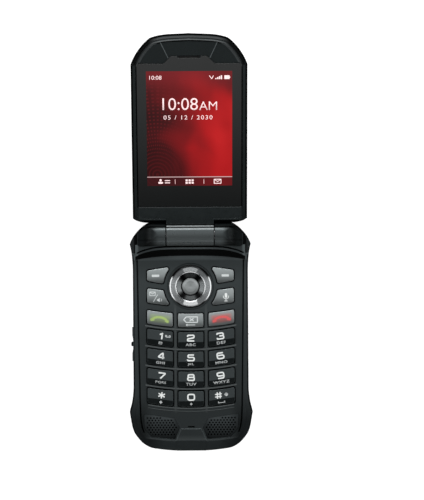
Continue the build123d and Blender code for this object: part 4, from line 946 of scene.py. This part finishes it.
def digit_lines(ch, u, w_, width, height, pen, r):
    out = []
    for pts, closed in D[ch]:
        q = [(u + (px - 0.5) * (width - pen), w_ + (py - 0.5) * (height - pen)) for px, py in pts]
        out.append((q, pen, closed, 0.0 if ch in "1" else r))
    return out


ROWS = [56.3 - 9.34 * k for k in range(4)]
XC = {"l": -14.6, "m": 0.0, "r": 14.6}
PAD = [("key_1", "1", "", 0, "l"), ("key_2", "2", "ABC", 0, "m"), ("key_3", "3", "DEF", 0, "r"),
       ("key_4", "4", "GHI", 1, "l"), ("key_5", "5", "JKL", 1, "m"), ("key_6", "6", "MNO", 1, "r"),
       ("key_7", "7", "PQRS", 2, "l"), ("key_8", "8", "TUV", 2, "m"), ("key_9", "9", "WXYZ", 2, "r"),
       ("key_0", "0", "", 3, "m")]
for key, ch, letters, row, col in PAD:
    pl = number_place(XC[col], ROWS[row])
    ribbons("legend_%s" % key, digit_lines(ch, 0.0, 4.62, 3.75, 3.35, 0.68, 0.9), pl, key, m_white)
    if letters:
        words("letters_%s" % key, letters, 1.32, pl, key, m_greyink, 0.0, 1.42, 1.32, 0.02, space=1.12)

# the small signs on the 1, 0, star and hash keys
pl = number_place(-14.6, ROWS[0])
ribbons("sign_tape", [([(1.95, 4.75), (2.6, 4.75), (2.6, 5.4), (1.95, 5.4)], 0.36, True, 0.34),
                      ([(3.65, 4.75), (4.3, 4.75), (4.3, 5.4), (3.65, 5.4)], 0.36, True, 0.34),
                      ([(2.1, 4.62), (4.2, 4.62)], 0.34, False, 0)], pl, "key_1", m_greyink)
ribbons("sign_letter", [([(-0.75, 0.95), (0.75, 0.95), (0.75, 1.95), (-0.75, 1.95)], 0.22, True, 0.05),
                        ([(-0.7, 1.9), (0.0, 1.4), (0.7, 1.9)], 0.2, False, 0)], pl, "key_1", m_greyink)
pl = number_place(0.0, ROWS[3])
ribbons("sign_plus", [([(-0.6, 1.35), (0.6, 1.35)], 0.36, False, 0), ([(0, 0.75), (0, 1.95)], 0.36, False, 0)],
        pl, "key_0", m_greyink)
pl = number_place(-14.6, ROWS[3])
star = []
for k in range(3):
    a = math.radians(90 + 60 * k)
    ca, sa = math.cos(a) * 1.75, math.sin(a) * 1.5
    star.append(([(-ca, 4.75 - sa), (ca, 4.75 + sa)], 0.62, False, 0))
ribbons("legend_key_star", star, pl, "key_star", m_white)
shapes("sign_diamond", [[(0, 0.55), (0.78, 1.4), (0, 2.25), (-0.78, 1.4)]], pl, "key_star", m_greyink)
pl = number_place(14.6, ROWS[3])
ribbons("legend_key_pound", [([(-1.75, 3.15), (-1.45, 6.15)], 0.56, False, 0), ([(-0.45, 3.15), (-0.15, 6.15)], 0.56, False, 0),
                             ([(-2.6, 5.25), (0.6, 5.25)], 0.52, False, 0), ([(-2.75, 4.05), (0.45, 4.05)], 0.52, False, 0)],
        pl, "key_pound", m_white)
ribbons("sign_quiet", [([(1.75, 4.65), (3.55, 4.65)], 0.3, False, 0), ([(2.65, 3.75), (2.65, 5.55)], 0.3, False, 0),
                       ([(2.05, 4.05), (3.25, 4.05), (3.25, 5.25), (2.05, 5.25)], 0.24, True, 0.5)],
        pl, "key_pound", m_greyink)
ribbons("sign_space", [([(-1.5, 1.75), (-1.5, 1.05), (1.5, 1.05), (1.5, 1.75)], 0.34, False, 0)], pl, "key_pound", m_greyink)


# painted highlights: light strips laid round the far end of the display half and under the lens
RIM = [(26.88, 79.3), (26.1, 81.0), (24.0, 84.68), (21.1, 88.3), (17.95, 91.1), (15.05, 92.0), (10.15, 92.73), (0, 93.18)]


def rim_line(inset):
    """Outline of the display half's far end, moved inwards, left to right."""
    pts = [Vector((-x, y)) for x, y in RIM] + [Vector(p) for p in reversed(RIM[:-1])]
    dense = []
    for i in range(len(pts) - 1):
        p0, p1, p2, p3 = pts[max(0, i - 1)], pts[i], pts[i + 1], pts[min(len(pts) - 1, i + 2)]
        for k in range(6):
            f = k / 6
            dense.append(0.5 * ((2 * p1) + (p2 - p0) * f + (2 * p0 - 5 * p1 + 4 * p2 - p3) * f * f +
                                (3 * p1 - p0 - 3 * p2 + p3) * f ** 3))
    dense.append(pts[-1])
    out = []
    for i, p in enumerate(dense):
        a, b = dense[max(0, i - 1)], dense[min(len(dense) - 1, i + 1)]
        d = (b - a).normalized()
        out.append((p.x + d.y * inset, p.y - d.x * inset))
    return out


def fade_masks(lo):
    """Lacquer painted darker towards the corners of the display half: painted shade, in colour and reflection."""
    def masks(t, co, base, r):
        x, y, z = t.xyz(co)
        k = t.remap(t.math("ABSOLUTE", x), 0.0130, 0.0190, 1.0, lo, True)
        return t.mix(1.0, base, grey3(t, k), "MULTIPLY"), r, grey3(t, k)
    return masks


# the strips are painted lighter than the housing beneath them, as painted highlights
m_rim_highlight = plastic("rim_highlight_paint", (0.078, 0.086, 0.088), 0.25, grain_h=0.02, edge=0.0, masks=fade_masks(0.32))
m_rim_band_light = plastic("rim_band", (0.040, 0.044, 0.045), 0.3, grain_h=0.02, edge=0.0, masks=fade_masks(0.06))
m_lens_highlight = plastic("lens_edge_highlight", (0.026, 0.029, 0.030), 0.3, grain_h=0.02, edge=0.0)
ribbons("rim_highlight_strip", [(rim_line(2.88), 0.56, False, 0)], lambda u, v_, h: lid_place(u, v_, h + 0.40), "lid", m_rim_highlight, 0.03)
ribbons("rim_band", [(rim_line(1.60), 0.80, False, 0)], lambda u, v_, h: lid_place(u, v_, h + 0.40), "lid", m_rim_band_light, 0.02)
ribbons("lens_edge_highlight", [([(-23.9, 13.0), (23.9, 13.0)], 0.26, False, 0)], lambda u, v_, h: lid_place(u, v_, h + 0.15), "lid",
        m_lens_highlight, 0.025)


# function keys
def arrow_left(u, w_, length, head, pen):
    return [([(u + length / 2, w_), (u - length / 2 + head * 0.3, w_)], pen, False, 0),
            ([(u - length / 2 + head, w_ + head), (u - length / 2, w_), (u - length / 2 + head, w_ - head)], pen, False, 0)]


A3 = math.asin(14.6 / SMILE_R)
SEND_Y = smile(14.6, (65.0 + 58.5) / 2) - YB
pl = crown_place(0.0, (65.0 + 58.5) / 2 - YB)
# erase sign: a pointed plate with a cross, and a back arrow under it
ribbons("legend_key_clear", [([(-3.3, 0.45), (-2.1, 1.75), (3.2, 1.75), (3.2, -0.85), (-2.1, -0.85)], 0.52, True, 0.12),
                             ([(-0.5, -0.2), (1.4, 1.1)], 0.5, False, 0), ([(-0.5, 1.1), (1.4, -0.2)], 0.5, False, 0)],
        pl, "key_clear", m_soft)
ribbons("sign_back", arrow_left(0.0, -2.05, 4.2, 0.5, 0.36), pl, "key_clear", m_soft)


def handset(name, flip, place, body, material):
    """Telephone receiver lying down, earpieces up or down."""
    n = 14
    arch = []
    for k in range(n + 1):
        f = -1 + 2 * k / n
        arch.append((3.3 * f, flip * (0.75 - 1.0 * f * f)))
    lines = [([tuple(p) for p in arch], 1.05, False, 0)]
    o = ribbons(name, lines, place, body, material)
    pads = []
    for sx in (-1, 1):
        cx_, cy_ = sx * 3.45, flip * -0.75
        a = sx * flip * -0.25
        pts = [(-0.95, -0.62), (0.95, -0.62), (0.95, 0.62), (-0.95, 0.62)]
        r = soften([(cx_ + px * math.cos(a) - py * math.sin(a), cy_ + px * math.sin(a) + py * math.cos(a)) for px, py in pts],
                   0.3, True, 4)
        pads.append([(p.x, p.y) for p in r])
    shapes(name + "_ends", pads, place, body, material, thick=0.04)
    return o


handset("legend_key_send", 1, crown_place(-14.6, SEND_Y, -A3), "key_send", m_green)
handset("legend_key_end", 1, crown_place(14.6, SEND_Y, A3), "key_end", m_red)
give(["key_send"], glow("key_send_grey", (0.27, 0.34, 0.19), -14.6, SEND_Y, -A3, 5.0, 2.0))
give(["key_end"], glow("key_end_grey", (0.45, 0.14, 0.13), 14.6, SEND_Y, A3, 5.0, 2.0))

SOFT_Y = (78.6 + 87.35) / 2 - YB
LOW_Y = (68.7 + 77.25) / 2 - YB
for side, key in ((-1, "key_soft_left"), (1, "key_soft_right")):
    pl = crown_place(0.0, SOFT_Y)
    shapes("legend_%s" % key, [rrect(side * 16.5 - 1.75, 0.1 - 0.55, side * 16.5 + 1.75, 0.1 + 0.55, 0.25)], pl, key, m_soft, 0.05)
pl = crown_place(0.0, LOW_Y)
ribbons("legend_key_message", [([(-19.3, 0.75), (-16.7, 0.75), (-16.7, 2.45), (-19.3, 2.45)], 0.32, True, 0.1),
                               ([(-19.2, 2.35), (-18.0, 1.5), (-16.8, 2.35)], 0.28, False, 0),
                               ([(-15.6, 1.2), (-17.6, -2.2)], 0.3, False, 0),
                               ([(-14.0, -0.7), (-13.6, -1.35), (-14.0, -2.0)], 0.26, False, 0.3)], pl, "key_message", m_soft)
shapes("sign_speaker", [[(-15.9, -1.75), (-15.4, -1.75), (-15.4, -0.95), (-15.9, -0.95)],
                        [(-15.45, -1.75), (-14.6, -2.35), (-14.6, -0.35), (-15.45, -0.95)]], pl, "key_message", m_soft)
ribbons("legend_key_voice", [([(16.05, 0.6), (16.05, -0.6), (16.8, -1.05), (17.55, -0.6), (17.55, 0.6)], 0.0, False, 0.3)][:0] +
        [([(15.55, 0.5), (15.55, -0.45), (16.8, -1.15), (18.05, -0.45), (18.05, 0.5)], 0.3, False, 0.8),
         ([(16.8, -1.0), (16.8, -2.0)], 0.34, False, 0), ([(16.0, -2.05), (17.6, -2.05)], 0.32, False, 0)],
        pl, "key_voice", m_white)
shapes("sign_capsule", [rrect(16.2, -0.5, 17.4, 1.75, 0.58)], pl, "key_voice", m_white, 0.04)


# ------------------------------------------------------------------- screen
def screen_material():
    m = bpy.data.materials.new("screen_picture")
    m.use_nodes = True
    t = Tree(m.node_tree)
    uv = t.n("ShaderNodeUVMap")
    uv.uv_map = "UVMap"
    x, y, _ = t.xyz(uv.outputs[0])          # 0..1 across, 0..1 up
    # broad light from the right, dusk at the left, paler at the top
    a = t.math("ADD", t.mul(x, 0.95), t.mul(t.math("SUBTRACT", 0.62, t.math("ABSOLUTE", t.math("SUBTRACT", y, 0.45))), 0.35))
    soft = t.noise(uv.outputs[0], 2.2, 2.0, 0.5, 0.8)
    a = t.math("ADD", a, t.mul(t.math("SUBTRACT", soft, 0.5), 0.35))
    # wide ripples about a point low on the left
    dx, dy = t.math("SUBTRACT", x, 0.12), t.mul(t.math("SUBTRACT", y, 0.10), 1.333)
    rad = t.math("SQRT", t.math("ADD", t.mul(dx, dx), t.mul(dy, dy)))
    wave = t.math("SINE", t.mul(rad, 17.0))
    a = t.math("ADD", a, t.mul(wave, 0.055))
    a = t.math("ADD", a, t.mul(t.remap(y, 0.60, 0.92, 0.0, 0.42, True), t.remap(x, 0.02, 0.85, 0.9, 0.0)))
    a = t.math("SUBTRACT", a, t.remap(x, 0.80, 1.0, 0.0, 0.20, True))
    a = t.math("SUBTRACT", a, t.mul(t.remap(y, 0.62, 0.95, 0.0, 0.26, True), t.remap(x, 0.5, 0.9, 0.0, 1.0, True)))
    base = t.ramp(a, [(0.08, (0.018, 0.0018, 0.0022)), (0.36, (0.055, 0.003, 0.004)), (0.62, (0.20, 0.005, 0.007)),
                      (0.86, (0.42, 0.007, 0.009)), (1.0, (0.52, 0.011, 0.013))])
    top = t.remap(y, 0.78, 1.0, 0.0, 0.6, True)
    base = t.mix(top, base, (0.185, 0.014, 0.018))
    # fine rings of dots that fade out to the right
    fringe = t.math("SINE", t.mul(rad, 150.0))
    ang = t.math("ARCTAN2", dy, dx)
    beads = t.math("SINE", t.mul(ang, 90.0))
    dots = t.mul(t.step(fringe, 0.35, 0.3), t.step(beads, 0.1, 0.4), t.remap(x, 0.05, 0.6, 0.5, 0.0, True))
    base = t.mix(dots, base, (0.16, 0.008, 0.011))
    bar = t.below(y, 0.075, 0.002)
    base = t.mix(t.mul(bar, 0.75), base, (0.05, 0.006, 0.008))
    rule = t.mul(t.step(y, 0.0745, 0.001), t.below(y, 0.0815, 0.001))
    base = t.mix(rule, base, (0.62, 0.42, 0.42))
    p = t.surface(Base_Color=(0.002, 0.002, 0.002), Roughness=0.07, Specular_IOR_Level=0.14)
    t.link(base, p.inputs["Emission Color"])
    p.inputs["Emission Strength"].default_value = 1.0
    return m


SX, SV0, SV1 = 19.8, 23.2, 76.0
nx_, ny_ = 24, 32
verts, faces, uvs = [], [], []
for j in range(ny_ + 1):
    for i in range(nx_ + 1):
        f, g = i / nx_, j / ny_
        verts.append(lid_place(-SX + 2 * SX * f, SV0 + (SV1 - SV0) * g, 0.006))
        uvs.append((f, g))
for j in range(ny_):
    for i in range(nx_):
        a = j * (nx_ + 1) + i
        faces.append((a, a + 1, a + nx_ + 2, a + nx_ + 1))
pic = link_mesh("screen_picture", verts, faces, "lid", screen_material())
uvl = pic.data.uv_layers.new(name="UVMap")
for loop in pic.data.loops:
    uvl.data[loop.index].uv = uvs[loop.vertex_index]

m_ui = ink_with_glow("ui_white", (0.74, 0.56, 0.56), 0.66, 0.3)
m_uidim = ink_with_glow("ui_pink", (0.72, 0.45, 0.45), 0.6, 0.2)
words("ui_clock", "10:08", 5.5, lid_place, "lid", m_ui, -4.9, 61.0, 1.04, -0.004, thick=0.012)
words("ui_half", "AM", 3.9, lid_place, "lid", m_ui, 8.9, 60.2, 1.05, -0.006, thick=0.012)
words("ui_date", "05 / 12 / 2030", 1.9, lid_place, "lid", m_ui, -0.6, 54.9, 1.15, 0.0, thick=0.012, space=1.25)
words("ui_time", "10:08", 1.8, lid_place, "lid", m_ui, -15.7, 73.1, 1.1, 0.0, thick=0.012)
bars = []
for k in range(4):
    bars.append([(12.0 + 0.85 * k, 72.3), (12.62 + 0.85 * k, 72.3), (12.62 + 0.85 * k, 72.75 + 0.42 * k), (12.0 + 0.85 * k, 72.75 + 0.42 * k)])
bars.append([(16.2, 72.3), (18.6, 72.3), (18.6, 74.0), (16.2, 74.0)])
bars.append([(18.6, 72.85), (18.9, 72.85), (18.9, 73.45), (18.6, 73.45)])
shapes("ui_status", bars, lid_place, "lid", m_ui, 0.012)
ribbons("ui_link", [([(9.3, 73.9), (10.4, 72.5), (11.2, 73.9)], 0.34, False, 0.1)], lid_place, "lid", m_ui, 0.012)
# three soft-key signs: a person, a menu grid and an envelope, with dividers
VB = 25.2
shapes("ui_person", [disc(-13.6, VB + 0.62, 0.55), rrect(-14.7, VB - 1.0, -12.5, VB - 0.1, 0.42)], lid_place, "lid", m_ui, 0.012)
ribbons("ui_names", [([(-11.6, VB + 0.45), (-9.2, VB + 0.45)], 0.42, False, 0), ([(-11.6, VB - 0.6), (-9.2, VB - 0.6)], 0.42, False, 0)],
        lid_place, "lid", m_ui, 0.012)
grid = []
for i in range(3):
    for j in range(2):
        grid.append(rrect(-1.95 + 1.4 * i, VB - 1.05 + 1.15 * j, -0.95 + 1.4 * i, VB - 0.2 + 1.15 * j, 0.15))
shapes("ui_menu", grid, lid_place, "lid", m_ui, 0.012)
ribbons("ui_letter", [([(11.4, VB - 0.95), (14.6, VB - 0.95), (14.6, VB + 0.95), (11.4, VB + 0.95)], 0.34, True, 0.12),
                      ([(11.5, VB + 0.85), (13.0, VB - 0.15), (14.5, VB + 0.85)], 0.3, False, 0)], lid_place, "lid", m_ui, 0.012)
ribbons("ui_dividers", [([(-6.8, VB - 1.1), (-6.8, VB + 1.0)], 0.22, False, 0), ([(6.6, VB - 1.1), (6.6, VB + 1.0)], 0.22, False, 0)],
        lid_place, "lid", m_uidim, 0.012)
